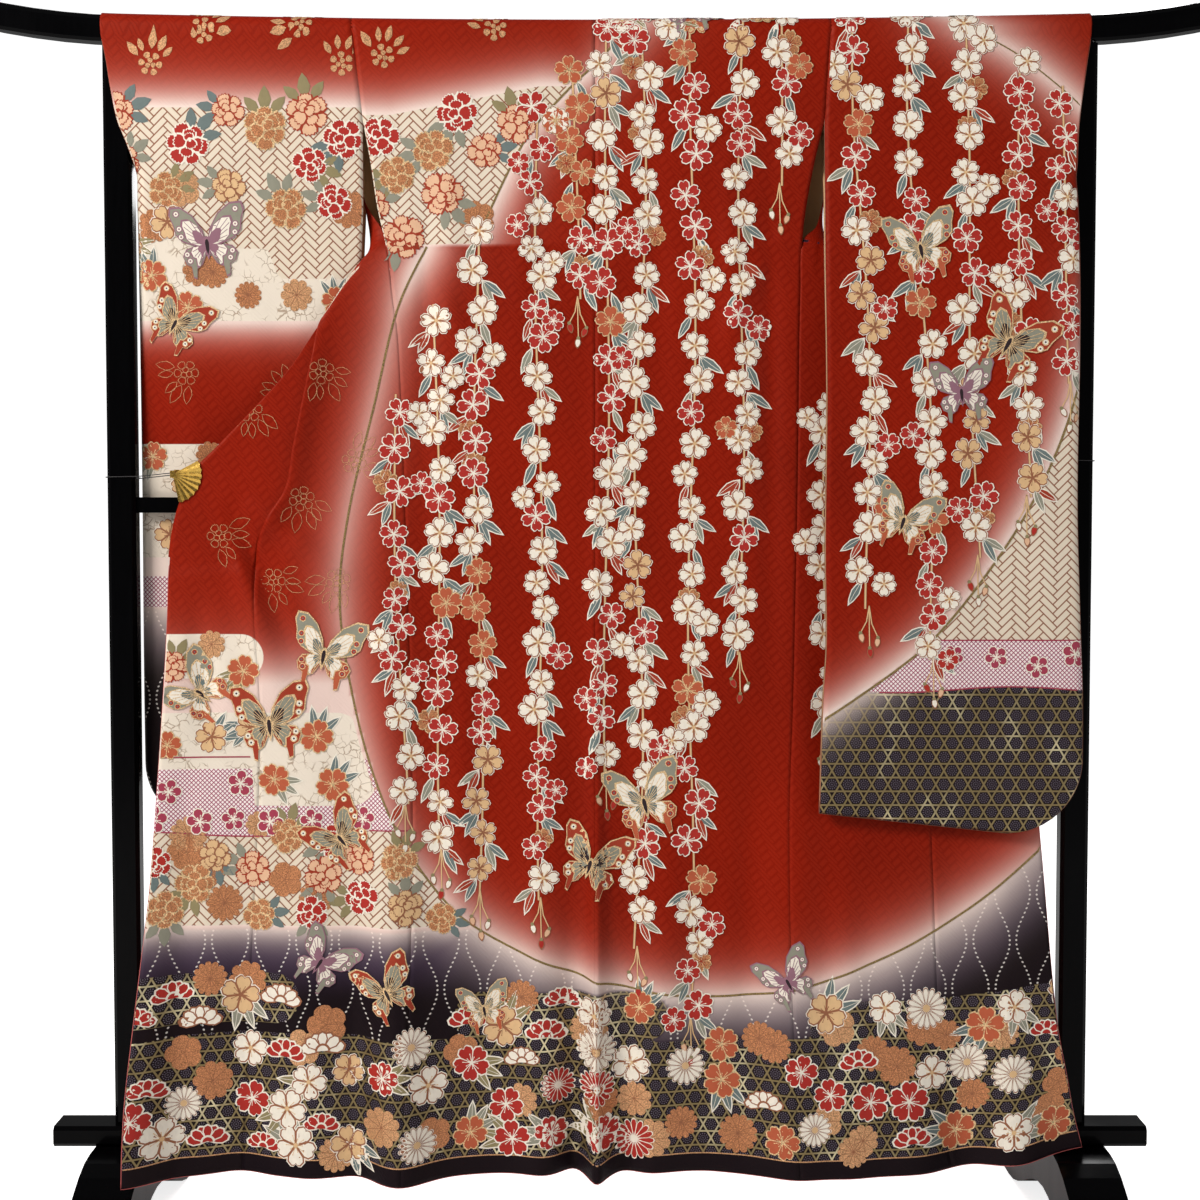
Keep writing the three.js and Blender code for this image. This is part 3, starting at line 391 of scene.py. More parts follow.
HALVES = (("left", LEFT), ("right", RIGHT))
for _, half in HALVES:
    half["side_x"] = line_through(half["side_seam"])
    half["edge_x"] = line_through([(row[4], row[3]) for row in half["front"]])
    half["seam_x"] = line_through([(row[2], row[1]) for row in half["front"]])


def back_edge(half, z):
    return armhole_x(half, z) if z > half["armhole"][3] else half["side_x"](z)


# ---- The dyed silk ------------------------------------------------------------------------
# Crepe-backed figured silk, stencil and paste-resist dyed: a red field inside a gold line,
# with grounds of plaited strips, cracked wax, tied dots, dotted waves and gilded lattice.


def colour_of(red, green, blue):
    """A dye's colour, given in the usual 0 to 255 steps, as the shader reads it."""
    def linear(step):
        share = step / 255
        return share / 12.92 if share <= 0.04045 else ((share + 0.055) / 1.055) ** 2.4
    return (linear(red), linear(green), linear(blue), 1.0)


RED, RED_DEEP, FIGURE_SHEEN_RED = colour_of(150, 25, 4), colour_of(96, 9, 1), colour_of(214, 66, 38)
CREAM, STRIP_SHADE, DOT_WHITE = colour_of(226, 214, 198), colour_of(214, 198, 174), colour_of(238, 226, 224)
GLOW, SALMON = colour_of(232, 212, 202), colour_of(198, 78, 52)
NIGHT, BLACK, STEAM_WHITE = colour_of(70, 54, 78), colour_of(22, 15, 21), colour_of(214, 206, 200)
PLUM, FLOWER_GREY = colour_of(150, 62, 92), colour_of(150, 138, 156)
BROWN_LINE, WAX_LINE = colour_of(140, 92, 70), colour_of(140, 112, 84)
# GLINT_GOLD is a painted highlight: the pale gold of glints on the gilded canes
GOLD, GLINT_GOLD = colour_of(146, 128, 90), colour_of(238, 226, 186)
BROWN_LINING, ROSE_LINING = colour_of(190, 150, 104), colour_of(206, 92, 84)


def new_group(name, inputs, outputs):
    """An empty shader group: its tree, what goes in by name, and the sockets to feed."""
    tree = bpy.data.node_groups.new(name, "ShaderNodeTree")
    for socket_name, kind, default in inputs:
        socket = tree.interface.new_socket(socket_name, in_out="INPUT", socket_type=kind)
        if default is not None:
            socket.default_value = default
    for socket_name in outputs:
        tree.interface.new_socket(socket_name, in_out="OUTPUT", socket_type="NodeSocketFloat")
    start, end = tree.nodes.new("NodeGroupInput"), tree.nodes.new("NodeGroupOutput")
    return tree, start.outputs, end.inputs


def use_group(group, vector, **values):
    node = vector.id_data.nodes.new("ShaderNodeGroup")
    node.node_tree = group
    join(node.inputs["Vector"], vector)
    for socket, value in values.items():
        join(node.inputs[socket], value)
    return node.outputs


def split(vector):
    node = vector.id_data.nodes.new("ShaderNodeSeparateXYZ")
    join(node.inputs[0], vector)
    return node.outputs["X"], node.outputs["Y"]


def soft_step(value, start, end):
    node = value.id_data.nodes.new("ShaderNodeMapRange")
    node.interpolation_type = "SMOOTHSTEP"
    join(node.inputs["Value"], value)
    node.inputs["From Min"].default_value = start
    node.inputs["From Max"].default_value = end
    return node.outputs["Result"]


def less(value):
    return calc("SUBTRACT", 1.0, value)


def edge_near(share):
    """How far a 0 to 1 share is from its nearer end."""
    return calc("MINIMUM", share, less(share))


def length_of(a, b):
    return calc("SQRT", calc("ADD", calc("MULTIPLY", a, a), calc("MULTIPLY", b, b)))


# Plaited strips, three times as long as wide, laid at right angles to each other.
STRIP_CELLS = 3
plait, given, put = new_group(
    "plaited strips", [("Vector", "NodeSocketVector", None), ("Width", "NodeSocketFloat", 0.0086)], ["Gap"]
)
along, across = (calc("DIVIDE", way, given["Width"]) for way in split(given["Vector"]))
in_along, in_across = calc("FRACT", along), calc("FRACT", across)
cell = calc("FLOORED_MODULO", calc("ADD", calc("FLOOR", along), calc("FLOOR", across)), 2.0 * STRIP_CELLS)


def end_of_strip(share, first):
    """Distance to a strip's end: its first cell has it before, its last cell behind."""
    is_first = calc("COMPARE", cell, float(first), 0.3)
    is_last = calc("COMPARE", cell, float(first + STRIP_CELLS - 1), 0.3)
    return calc("MINIMUM", calc("ADD", share, less(is_first)), calc("ADD", less(share), less(is_last)))


lying = calc("MINIMUM", edge_near(in_across), end_of_strip(in_along, 0))
standing = calc("MINIMUM", edge_near(in_along), end_of_strip(in_across, STRIP_CELLS))
is_lying = calc("LESS_THAN", cell, STRIP_CELLS - 0.5)
join(put["Gap"], calc("ADD", calc("MULTIPLY", lying, is_lying), calc("MULTIPLY", standing, less(is_lying))))

# Woven bamboo lattice: three sets of parallel canes that leave hexagons, a small flower in each.
CANE_STEP, FLOWER_RADIUS = 0.0185, 0.0074
lattice, given, put = new_group("bamboo lattice", [("Vector", "NodeSocketVector", None)], ["Cane", "Flower"])
sideways, upwards = split(given["Vector"])
canes = []
for turn, phase in ((0.0, 0.5), (60.0, 0.0), (120.0, 0.0)):
    run = calc("ADD", calc("MULTIPLY", sideways, -math.sin(math.radians(turn)) / CANE_STEP),
               calc("MULTIPLY", upwards, math.cos(math.radians(turn)) / CANE_STEP))
    share = calc("FRACT", calc("ADD", run, phase))
    canes.append(calc("MULTIPLY", edge_near(share), CANE_STEP))
join(put["Cane"], calc("MINIMUM", canes[0], calc("MINIMUM", canes[1], canes[2])))
HEX_ACROSS = CANE_STEP * 2 / math.sqrt(3)  # from one hexagon's middle to the next in its row
row_share = calc("DIVIDE", upwards, CANE_STEP)
row = calc("ROUND", row_share)
column_share = calc("SUBTRACT", calc("DIVIDE", sideways, HEX_ACROSS), calc("MULTIPLY_ADD", row, 0.5, 0.5))
from_x = calc("MULTIPLY", calc("SUBTRACT", column_share, calc("ROUND", column_share)), HEX_ACROSS)
from_y = calc("MULTIPLY", calc("SUBTRACT", row_share, row), CANE_STEP)
from_middle = length_of(from_x, from_y)
petals = calc("SINE", calc("MULTIPLY", calc("ARCTAN2", from_y, from_x), 12.0))
petal_rows = calc("SINE", calc("MULTIPLY", from_middle, 2400.0))
flower = calc("MULTIPLY", calc("MULTIPLY_ADD", petals, 0.5, 0.5), calc("MULTIPLY_ADD", petal_rows, 0.4, 0.5))
join(put["Flower"], calc("MULTIPLY", flower, calc("LESS_THAN", from_middle, FLOWER_RADIUS)))

# Rising steam: dotted lines in pairs that swell apart and draw together.
WAVE = {"step": 0.057, "swing": 0.0098, "length": 0.128, "dots": 0.006}
waves, given, put = new_group("dotted waves", [("Vector", "NodeSocketVector", None)], ["Dot"])
sideways, upwards = split(given["Vector"])
swing = calc("MULTIPLY", calc("SINE", calc("MULTIPLY", upwards, 2 * math.pi / WAVE["length"])), WAVE["swing"])
to_lines = []
for sign, offset in ((1, 0.0), (-1, 0.5)):
    share = calc("DIVIDE", calc("MULTIPLY_ADD", swing, float(sign), sideways), WAVE["step"])
    to_lines.append(calc("MULTIPLY", edge_near(calc("FRACT", calc("ADD", share, offset))), WAVE["step"]))
dot_share = calc("FRACT", calc("DIVIDE", upwards, WAVE["dots"]))
to_dot = calc("MULTIPLY", calc("ABSOLUTE", calc("SUBTRACT", dot_share, 0.5)), WAVE["dots"])
join(put["Dot"], length_of(calc("MINIMUM", *to_lines), to_dot))

# Tied dots: close diagonal rows of small squares, each left white with a pin-point of dye.
DOT_STEP = 0.0042
tied, given, put = new_group("tied dots", [("Vector", "NodeSocketVector", None)], ["Square"])
sideways, upwards = split(given["Vector"])
reaches = []
for sign in (1, -1):
    run = calc("DIVIDE", calc("MULTIPLY_ADD", upwards, float(sign), sideways), DOT_STEP * 1.41)
    reaches.append(calc("ABSOLUTE", calc("SUBTRACT", calc("FRACT", run), 0.5)))
join(put["Square"], calc("MAXIMUM", *reaches))


def on_cloth(tree):
    """The place on the cloth as it was cut and laid flat."""
    node = tree.nodes.new("ShaderNodeUVMap")
    node.uv_map = "cloth"
    return node.outputs["UV"]


def reading(tree, name):
    node = tree.nodes.new("ShaderNodeAttribute")
    node.attribute_name = name
    return node.outputs["Fac"]


def within(tree, name, blur=0.0006):
    """1 inside the ground of that name, 0 outside, over a soft or a crisp edge."""
    return soft_step(reading(tree, name), -blur, blur)


silk, tree, shader = new_material(
    "dyed silk", Roughness=0.5, Sheen_Weight=0.02, Sheen_Roughness=0.4, Sheen_Tint=(1.0, 0.62, 0.48, 1),
    Specular_IOR_Level=0.1, Specular_Tint=(1.0, 0.74, 0.55, 1),
)
place = on_cloth(tree)
diagonal = stretched(place, turn=math.radians(45))

mottle = noise_at(stretched(place, (5, 3, 5)), 1.0, 3.0)
woven_gap = use_group(plait, stretched(diagonal, (0.62, 1.5, 1)), Width=0.0062)["Gap"]
figure = soft_step(woven_gap, 0.04, 0.3)  # the woven-in figure of the silk itself
field = mix(mottle, RED, RED_DEEP)
# painted sheen, in part: the woven figure is real, but its lighter red stands in for the sheen it catches
field = mix(calc("MULTIPLY", figure, 0.09), field, FIGURE_SHEEN_RED)

CRACK_SCALE, CRACK_WANDER = 88, 0.011
wax = noise_at(stretched(place, (26, 26, 26)), 1.0)
wander = tree.nodes.new("ShaderNodeTexNoise")
join(wander.inputs["Vector"], place)
wander.inputs["Scale"].default_value = 90
warp = tree.nodes.new("ShaderNodeVectorMath")
warp.operation = "MULTIPLY_ADD"
for socket, value in zip(warp.inputs, (wander.outputs["Color"], (CRACK_WANDER, CRACK_WANDER, 0), place)):
    join(socket, value)
cracks = tree.nodes.new("ShaderNodeTexVoronoi")
cracks.feature = "DISTANCE_TO_EDGE"
join(cracks.inputs["Vector"], warp.outputs[0])
cracks.inputs["Scale"].default_value = CRACK_SCALE
crack = calc("MULTIPLY", less(soft_step(cracks.outputs["Distance"], 0.015, 0.06)), soft_step(wax, 0.46, 0.56))
cracked = mix(calc("MULTIPLY", crack, 0.7), CREAM, WAX_LINE)

strip_gap = use_group(plait, diagonal)["Gap"]
plaited = mix(soft_step(strip_gap, 0.07, 0.13), BROWN_LINE, mix(mottle, CREAM, STRIP_SHADE))

square = use_group(tied, place)["Square"]
dotted = mix(soft_step(square, 0.33, 0.4), DOT_WHITE, PLUM)

night = mix(soft_step(reading(tree, "night"), 0.0, 0.1), NIGHT, BLACK)
above_hem = soft_step(split(place)[1], 0.126, 0.13)
steam = calc("MULTIPLY", less(soft_step(use_group(waves, place)["Dot"], 0.0011, 0.0016)), above_hem)
night = mix(calc("MULTIPLY", steam, 0.9), night, STEAM_WHITE)

bamboo = use_group(lattice, place)
hexagon = mix(calc("POWER", bamboo["Flower"], 2.2), BLACK, FLOWER_GREY)
# painted glints: noise patches where the gilded canes are coloured bright gold, standing in for light caught on
# the foil
painted_glint = soft_step(noise_at(stretched(place, (15, 9, 15), 0.5), 1.0, 3.0), 0.5, 0.7)
cane = less(soft_step(bamboo["Cane"], 0.0009, 0.0014))
latticed = mix(cane, hexagon, mix(painted_glint, GOLD, GLINT_GOLD))

glow = calc("POWER", reading(tree, "glow"), 1.8)
lattice_here = within(tree, "lattice")
field = mix(calc("POWER", glow, 0.7), field, mix(glow, SALMON, GLOW))
ground = mix(within(tree, "night", 0.004), field, mix(glow, night, GLOW))
for ground_name, drawn in (("plait", plaited), ("wax", cracked), ("dots", dotted)):
    ground = mix(within(tree, ground_name), ground, drawn)
ground = mix(lattice_here, ground, mix(glow, latticed, GLOW))
join(shader.inputs["Base Color"], ground)
gilt = calc("MULTIPLY", calc("MULTIPLY", cane, lattice_here), less(glow))
join(shader.inputs["Metallic"], calc("MULTIPLY", gilt, 0.75))
crepe = noise_at(stretched(place, (900, 520, 900)), 1.0, 2.0, 0.6)
smoother = calc("ADD", calc("MULTIPLY", gilt, 0.14), calc("MULTIPLY", figure, 0.07))
join(shader.inputs["Roughness"], calc("SUBTRACT", calc("MULTIPLY_ADD", crepe, 0.16, 0.46), smoother))
bump(shader, calc("ADD", crepe, calc("ADD", calc("MULTIPLY", figure, 0.6), gilt)), 0.00022, 0.5)

# The lining: brown above, dyed rose towards the hem.
lining, tree, shader = new_material("lining silk", Roughness=0.52, Sheen_Weight=0.2)
place = on_cloth(tree)
cloudy = noise_at(stretched(place, (8, 3, 8)), 1.0, 3.0)
# painted shade: soft patches, long up and down the cloth, darken the brown as shade in its folds would
BROWN_IN_FOLD_SHADE = tuple(0.55 * c for c in BROWN_LINING[:3]) + (1,)
shaded = mix(calc("MULTIPLY", cloudy, 0.22), BROWN_LINING, BROWN_IN_FOLD_SHADE)
join(shader.inputs["Base Color"], mix(soft_step(split(place)[1], 0.72, 0.46), shaded, ROSE_LINING))
bump(shader, noise_at(stretched(place, (1400, 700, 900)), 1.0, 1.0), 0.0002, 0.4)

# ---- Where each ground lies ---------------------------------------------------------------
# The grounds are laid out over the whole garment as if it were spread flat: x across, and the
# level up it. A ground is told by how far a point is inside its border, in millimetres.


CURVE_STEPS = 6


def between(p, q, r, s, t):
    """A smooth value from q to r, with p before them and s after them (Catmull-Rom)."""
    return 0.5 * (2 * q + (r - p) * t + (2 * p - 5 * q + 4 * r - s) * t**2 + (3 * q - p - 3 * r + s) * t**3)


def curve_through(points):
    last = len(points) - 1
    made = []
    for i in range(last):
        near = [points[clamp(i + k, 0, last)] for k in (-1, 0, 1, 2)]
        for step in range(CURVE_STEPS):
            made.append(tuple(between(*four, step / CURVE_STEPS) for four in zip(*near)))
    return made + [tuple(points[-1])]


def distance_to(x, z, line):
    """Distance from points (arrays) to an open line of (x, z) points."""
    best = np.full(x.shape, 1e6)
    for (ax, az), (bx, bz) in zip(line, line[1:]):
        dx, dz = bx - ax, bz - az
        t = np.clip(((x - ax) * dx + (z - az) * dz) / max(dx * dx + dz * dz, 1e-9), 0, 1)
        best = np.minimum(best, np.hypot(x - ax - t * dx, z - az - t * dz))
    return best


def inside(x, z, border):
    """Distance inside a closed border, negative outside it."""
    within_it = np.zeros(x.shape, bool)
    for (ax, az), (bx, bz) in zip(border, border[1:] + border[:1]):
        if az != bz:
            within_it ^= ((az > z) != (bz > z)) & (x < (bx - ax) * (z - az) / (bz - az) + ax)
    away = distance_to(x, z, border + border[:1])
    return np.where(within_it, away, -away)


def cloud(x, z, left, right, low, high):
    """Distance inside a bar of cloud with fully rounded ends."""
    radius = (high - low) / 2
    off_x = np.maximum(np.maximum(left + radius - x, x - right + radius), 0)
    off_z = np.abs(z - (low + high) / 2)
    return np.where(off_x > 0, radius - np.hypot(off_x, off_z), radius - off_z)


def least(*depths):
    return np.minimum.reduce(depths)


def most(*depths):
    return np.maximum.reduce(depths)


# The gold line round the red field: down from the shoulder, then round below the knees.
SHOULDER_LINE = curve_through([(62, 1668), (4, 1600), (-40, 1558), (-92, 1500), (-128, 1436), (-170, 1344)])
FIELD_LINE = curve_through([
    (-232, 1347), (-272, 1262), (-304, 1130), (-336, 1000), (-350, 890), (-342, 790), (-312, 660),
    (-262, 545), (-190, 450), (-90, 392), (20, 356), (140, 340), (262, 352), (370, 388), (470, 440),
    (560, 508), (680, 620),
])


def past_line(x, z, line, corners):
    """Distance from an open line, positive on the side where these corners close it."""
    return np.copysign(distance_to(x, z, line), inside(x, z, line + corners))


def halo(away, reach):
    """The paste-resist's soft pale edge, fading to nothing over that reach."""
    return np.exp(-((np.abs(away) / reach) ** 1.25))


def smooth_array(start, end, value):
    t = np.clip((value - start) / (end - start), 0, 1)
    return t * t * (3 - 2 * t)


GROUNDS = ("plait", "wax", "dots", "lattice", "night", "glow")
HEM_BORDER, NIGHT_TOP = 128, 432
PLAIT_LOW, PLAIT_TOP = 436, 566
DOTS_LOW, DOTS_TOP = 560, 662
PAST_CLOTH = 900  # an x past every edge of the cloth


def all_grounds(x, **depths):
    """How deep each point lies in every ground. A ground that isn't named lies nowhere."""
    nowhere = {name: np.full(x.shape, -100.0) for name in GROUNDS[:-1]}
    return nowhere | {"glow": np.zeros(x.shape)} | depths


def dyed_ripple(x):
    return 5 * np.sin(x / 60)


def body_grounds(x, z):
    above = z > TUCK_LEVEL
    field = np.where(
        above, past_line(x, z, SHOULDER_LINE, [(PAST_CLOTH, 1340), (PAST_CLOTH, 1900), (62, 1900)]),
        past_line(x, z, FIELD_LINE, [(PAST_CLOTH, 700), (PAST_CLOTH, 1347)]),
    )
    outside = -field
    red_above = 1522 + 38 * np.clip((x + 280) / 200, 0, 1)
    high_plait = least(outside, red_above - z)
    low_plait = least(outside, PLAIT_TOP - z + dyed_ripple(x), z - PLAIT_LOW, -x)
    wax = most(cloud(x, z, -PAST_CLOTH, -452, 768, 828), cloud(x, z, -PAST_CLOTH, -318, 646, 722))
    wax = np.where(x > -470, most(wax, cloud(x, z, -PAST_CLOTH, -300, 596, 672)), wax)
    wax = least(wax, outside - 6)
    dots = least(outside, -wax, DOTS_TOP - z, z - DOTS_LOW - dyed_ripple(x))
    lattice = most(
        cloud(x, z, -PAST_CLOTH, -404, 306, 372), 286 - 7 * np.cos(x / 140) - z, cloud(x, z, -196, 92, 282, 346),
        cloud(x, z, 282, PAST_CLOTH, 262, 336 + 22 * smooth_array(420, 640, x)),
    )
    lattice = least(lattice, z - HEM_BORDER)
    round_hem = most(np.where(x < 0, least(outside, NIGHT_TOP - z), outside), HEM_BORDER - z)
    night = np.where(above, -200, round_hem)

    # the pale glow: round the field, over the low plait, under the upper red and below it
    strength = 0.72 + 0.28 * smooth_array(1230, 1330, z) + 0.2 * smooth_array(560, 460, z)
    round_field = halo(field, np.where(field > 0, 46, 42)) * strength
    dawn = halo(np.minimum(z - PLAIT_LOW, 0), 26) * (field < 0) * (z < 560) * (x < 0)
    dusk = 0.95 * halo(np.maximum(z - 760, 0), 62) * (field < 0) * (z > 640) * (z < 1300)
    below_red = halo(np.maximum(z - red_above, 0), 42) * (field < 0)
    in_upper_red = np.where((field < 0) & (z > red_above), 0.6, 1.0)
    glow = np.where(above, most(round_field * in_upper_red, below_red), most(round_field, dawn, dusk))
    glow = glow * (1 - 0.75 * np.clip(lattice / 1.5 + 0.5, 0, 1))
    plait = np.where(above, high_plait, low_plait)
    return all_grounds(x, plait=plait, wax=wax, dots=dots, lattice=lattice, night=night, glow=glow)


RIGHT_SLEEVE_LINE = curve_through([
    (280, 704), (330, 736), (400, 786), (446, 826), (504, 896), (560, 980), (604, 1070), (634, 1160),
    (668, 1290),
])
RIGHT_SLEEVE_TOP_LINE = curve_through([(440, 1672), (500, 1634), (560, 1600), (620, 1552), (672, 1500)])
SLEEVE_DOTS_LOW, SLEEVE_DOTS_TOP = 756, 822


def sleeve_dots_low(x):
    return SLEEVE_DOTS_LOW - 4 * np.sin(x / 50)


def right_sleeve_grounds(x, z):
    field = past_line(x, z, RIGHT_SLEEVE_LINE, [(668, 1900), (100, 1900), (100, 704)])
    low = sleeve_dots_low(x)
    plait, lattice = least(-field, z - SLEEVE_DOTS_TOP), least(-field, low - z)
    dots = least(-field, SLEEVE_DOTS_TOP - z, z - low)
    glow = halo(field, np.where(field > 0, 42, 28)) * np.where(field > 0, 1.0, 0.8)
    glow = most(glow, 0.95 * halo(distance_to(x, z, RIGHT_SLEEVE_TOP_LINE), 44))
    return all_grounds(x, plait=plait, dots=dots, lattice=lattice, night=lattice + 4, glow=glow)


def left_sleeve_grounds(x, z):
    red_above, dots_top, dots_low = 1532, 904, 862
    step = 1392 - 46 * smooth_array(-560, -540, x) - 40 * smooth_array(-450, -430, x)
    low_wax = most(cloud(x, z, -760, -470, 1036, 1084), least(1046 - z, z - 930))
    wax = most(least(step - z, z - 1250), low_wax)
    glow = halo(np.maximum(z - red_above, 0), 44) * (z > 1250)
    for low, high, reach in ((1100, 1250, 36), (880, 930, 24), (0, 870, 60)):
        glow = most(glow, halo(np.maximum(high - z, 0), reach) * (z > low) * (z < high + 110))
    return all_grounds(x, plait=least(red_above - z, z - step), wax=wax, dots=least(dots_top - z, z - dots_low),
                       night=dots_low - z, glow=glow)


def hang_cloth(name, cells, surface, grounds, node):
    """A sheet of silk and lining: a fine grid laid on surface(u, v), which gives the place on
    its outer side, the place on the flat cloth, and how thick it is there."""
    bm = bmesh.new()
    bmesh.ops.create_grid(bm, x_segments=cells[0], y_segments=cells[1], size=1)
    flat_x, flat_z, full = [], [], []
    for vert in bm.verts:
        made, cloth_x, level, thickness = surface((vert.co.x + 1) / 2, (vert.co.y + 1) / 2)
        vert.co = made * MM
        flat_x.append(cloth_x)
        flat_z.append(level)
        full.append(thickness)
    bm.verts.index_update()
    uv = bm.loops.layers.uv.new("cloth")
    for face in bm.faces:
        face.smooth = True
        for loop in face.loops:
            i = loop.vert.index
            loop[uv].uv = (flat_x[i] * MM, flat_z[i] * MM)
    piece = place_mesh(name, bm, silk, lining)
    values = grounds(np.array(flat_x), np.array(flat_z))
    for ground_name in GROUNDS:
        layer = piece.data.attributes.new(ground_name, "FLOAT", "POINT")
        scale = 1.0 if ground_name == "glow" else MM
        layer.data.foreach_set("value", (np.clip(values[ground_name], -200, 200) * scale).astype(np.float32))
    group = piece.vertex_groups.new(name="thickness")
    for index, share in enumerate(full):
        group.add([index], share, "REPLACE")
    wall = piece.modifiers.new("lining", "SOLIDIFY")
    wall.thickness = SILK * MM
    wall.offset = -1
    wall.vertex_group = "thickness"
    wall.material_offset, wall.material_offset_rim = 1, 0
    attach(piece, "root")
    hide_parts(node)
    return piece


trimmings = {}  # piece name: what is sewn to or painted on that sheet

# ---- Back panels --------------------------------------------------------------------------
# Two lengths of silk joined by the centre back seam. Each runs from the hem up over the rail
# and down behind it to the shoulder line, with a tuck sewn across just below the armholes.

BACK_TOP = RAIL_LINE + TURN_LENGTH + SHOULDER_DROP


def back_surface(half):
    def surface(u, v):
        out = u if half["side"] > 0 else 1 - u
        run = lerp(HEM_LEVEL, BACK_TOP, v)
        hangs = run <= RAIL_LINE
        x = lerp(CENTRE_SEAM_X, back_edge(half, run if hangs else RAIL_LINE + WRAP), out)
        return on_curtain(x, run) if hangs else over_rail(x, run - RAIL_LINE), x, run, 1.0

    return surface


for name, half in HALVES:
    hang_cloth("back_cloth_" + name, (50, 300), back_surface(half), body_grounds, "back_" + name)

# ---- Front panels -------------------------------------------------------------------------
# One length of cloth with the backs. Each is drawn out to the side below, face outwards, and
# twists back behind the rail to the shoulder line.

FRONT_TOP = 1335  # where the picture on the cloth leaves the front panels
POUCH_FIRST, POUCH_STEP = 70, 62  # cloth from the last curtain row to the pouch, and between its rows


def along_rows(rows, k):
    """Every column of a table, smoothly, at a row number that needn't be whole."""
    last = len(rows) - 1
    i = int(clamp(math.floor(k), 0, last - 1))
    near = [rows[int(clamp(i + step, 0, last))] for step in (-1, 0, 1, 2)]
    return [between(*four, k - i) for four in zip(*near)]


def row_reader(lengths):
    """Turns a share of the whole length into a row number, given the lengths between rows."""
    total = sum(lengths)
    marks = [0.0]
    for length in lengths:
        marks.append(marks[-1] + length / total)

    def read(v):
        i = 0
        while i < len(lengths) - 1 and v > marks[i + 1]:
            i += 1
        return i + clamp((v - marks[i]) / (marks[i + 1] - marks[i]), 0, 1)

    return read


def overhang_at(half, from_seam, z):
    top, low, reach, width = half["overhang"]
    along_it = smooth(low, low + 60, z) * smooth(top, top - 90, z)
    return along_it * reach * math.exp(-((from_seam / width) ** 2))


def front_surface(half):
    side, curtain_rows, pouch = half["side"], half["front"], half["pouch"]
    last, count = len(curtain_rows) - 1, len(curtain_rows) + len(pouch)
    top_level = curtain_rows[-1][0]
    lengths = [b[0] - a[0] for a, b in zip(curtain_rows, curtain_rows[1:])]
    row_number = row_reader(lengths + [POUCH_FIRST] + [POUCH_STEP] * 5)

    def on_row(index, t):
        """A point of one whole row, and its level on the flat cloth."""
        if index > last:
            side_x, side_y, side_z, edge_x, edge_y, edge_z, back, down = pouch[index - last - 1]
            belly = 3 * t * (1 - t)
            return (lerp(edge_x, side_x, t), lerp(edge_y, side_y, t) + back * belly,
                    lerp(edge_z, side_z, t) - down * belly, top_level + 60 * (index - last))
        level, seam_x, seam_z, _, _ = curtain_rows[index]
        is_top = index == last
        crown = 62 * t * (1 - t) * (0.4 + t) * is_top
        x, z = lerp(seam_x, half["side_x"](level), t) + side * crown * 0.32, lerp(seam_z, level, t) + crown
        slip = (CLOTH + SEAM) * smooth(0.6, 1, t) * is_top
        point = on_curtain(x, z)
        return point.x, point.y - overhang_at(half, x - seam_x, point.z) + slip, point.z, z

    def on_front(t, k):
        first = max(int(k) - 1, 0)
        rows = [on_row(j, t) for j in range(first, min(int(k) + 3, count))]
        x, y, z, level = along_rows(rows, k - first)
        drawn = smooth(last - 0.2, last - 1.2, k)
        if drawn > 0:
            seam_x = along_rows(curtain_rows, min(k, last))[1]
            y = lerp(y, curtain_depth(x, z) - overhang_at(half, x - seam_x, z), drawn)
        return Vector((x, y, z)), level

    def surface(u, v):
        t = u if side < 0 else 1 - u
        k = min(row_number(v), count - 1.0001)
        point, level = on_front(t, k)
        if k <= last:
            return point, point.x, min(level, TUCK_LEVEL - 2), 1.0
        width = (on_front(0, k)[0] - on_front(1, k)[0]).length
        cloth_x = half["side_x"](FRONT_TOP) + side * (width * (1 - t) + 60 * smooth(last, last + 0.8, k))
        return point, cloth_x, 2 * top_level - level, 1.0

    return surface


for name, half in HALVES:
    hang_cloth("front_cloth_" + name, (36, 300), front_surface(half), body_grounds, "front_" + name)

# ---- Overlap panels -----------------------------------------------------------------------
# The narrow panel that is sewn along each front's free edge, drawn in to the clip above.

LAP, LAP_DEPTH = 14, CLOTH + 2 * SEAM


def lapped(half, z):
    low = half["overhang"][1]
    return smooth(low - 20, low, z)


def overlap_surface(half):
    side, rows, low = half["side"], half["front"], half["overhang"][1]
    row_number = row_reader([math.hypot(b[3] - a[3], b[4] - a[4]) for a, b in zip(rows, rows[1:])])

    def surface(u, v):
        t = u if side < 0 else 1 - u
        _, seam_x, seam_z, edge_x, edge_z = along_rows(rows, min(row_number(v), len(rows) - 1.0001))
        lap = LAP * smooth(low + 20, low + 90, seam_z)
        level = lerp(edge_z, seam_z - lap * 0.6, t)
        point = on_curtain(lerp(edge_x, seam_x - side * lap, t), level)
        point.y += LAP_DEPTH * lapped(half, seam_z)
        return point, point.x, level, 1.0

    return surface


for name, half in HALVES:
    hang_cloth("overlap_cloth_" + name, (26, 210), overlap_surface(half), body_grounds, "overlap_" + name)

# ---- Collar -------------------------------------------------------------------------------
# One long band, folded in half over its core: a neck stretch behind the rail and a stretch
# down each front edge, behind the drawn-out overlap.

COLLAR_WIDTH, COLLAR_BEHIND, COLLAR_SHIFT = 55, 0.4, 0.04
COLLAR_TAIL = [(932, 5), (965, 5), (1003, 3)]  # level, how far outside the front edge
PICTURE_END = 1100  # the collar is dyed red alone, so its level stays clear of the lower grounds


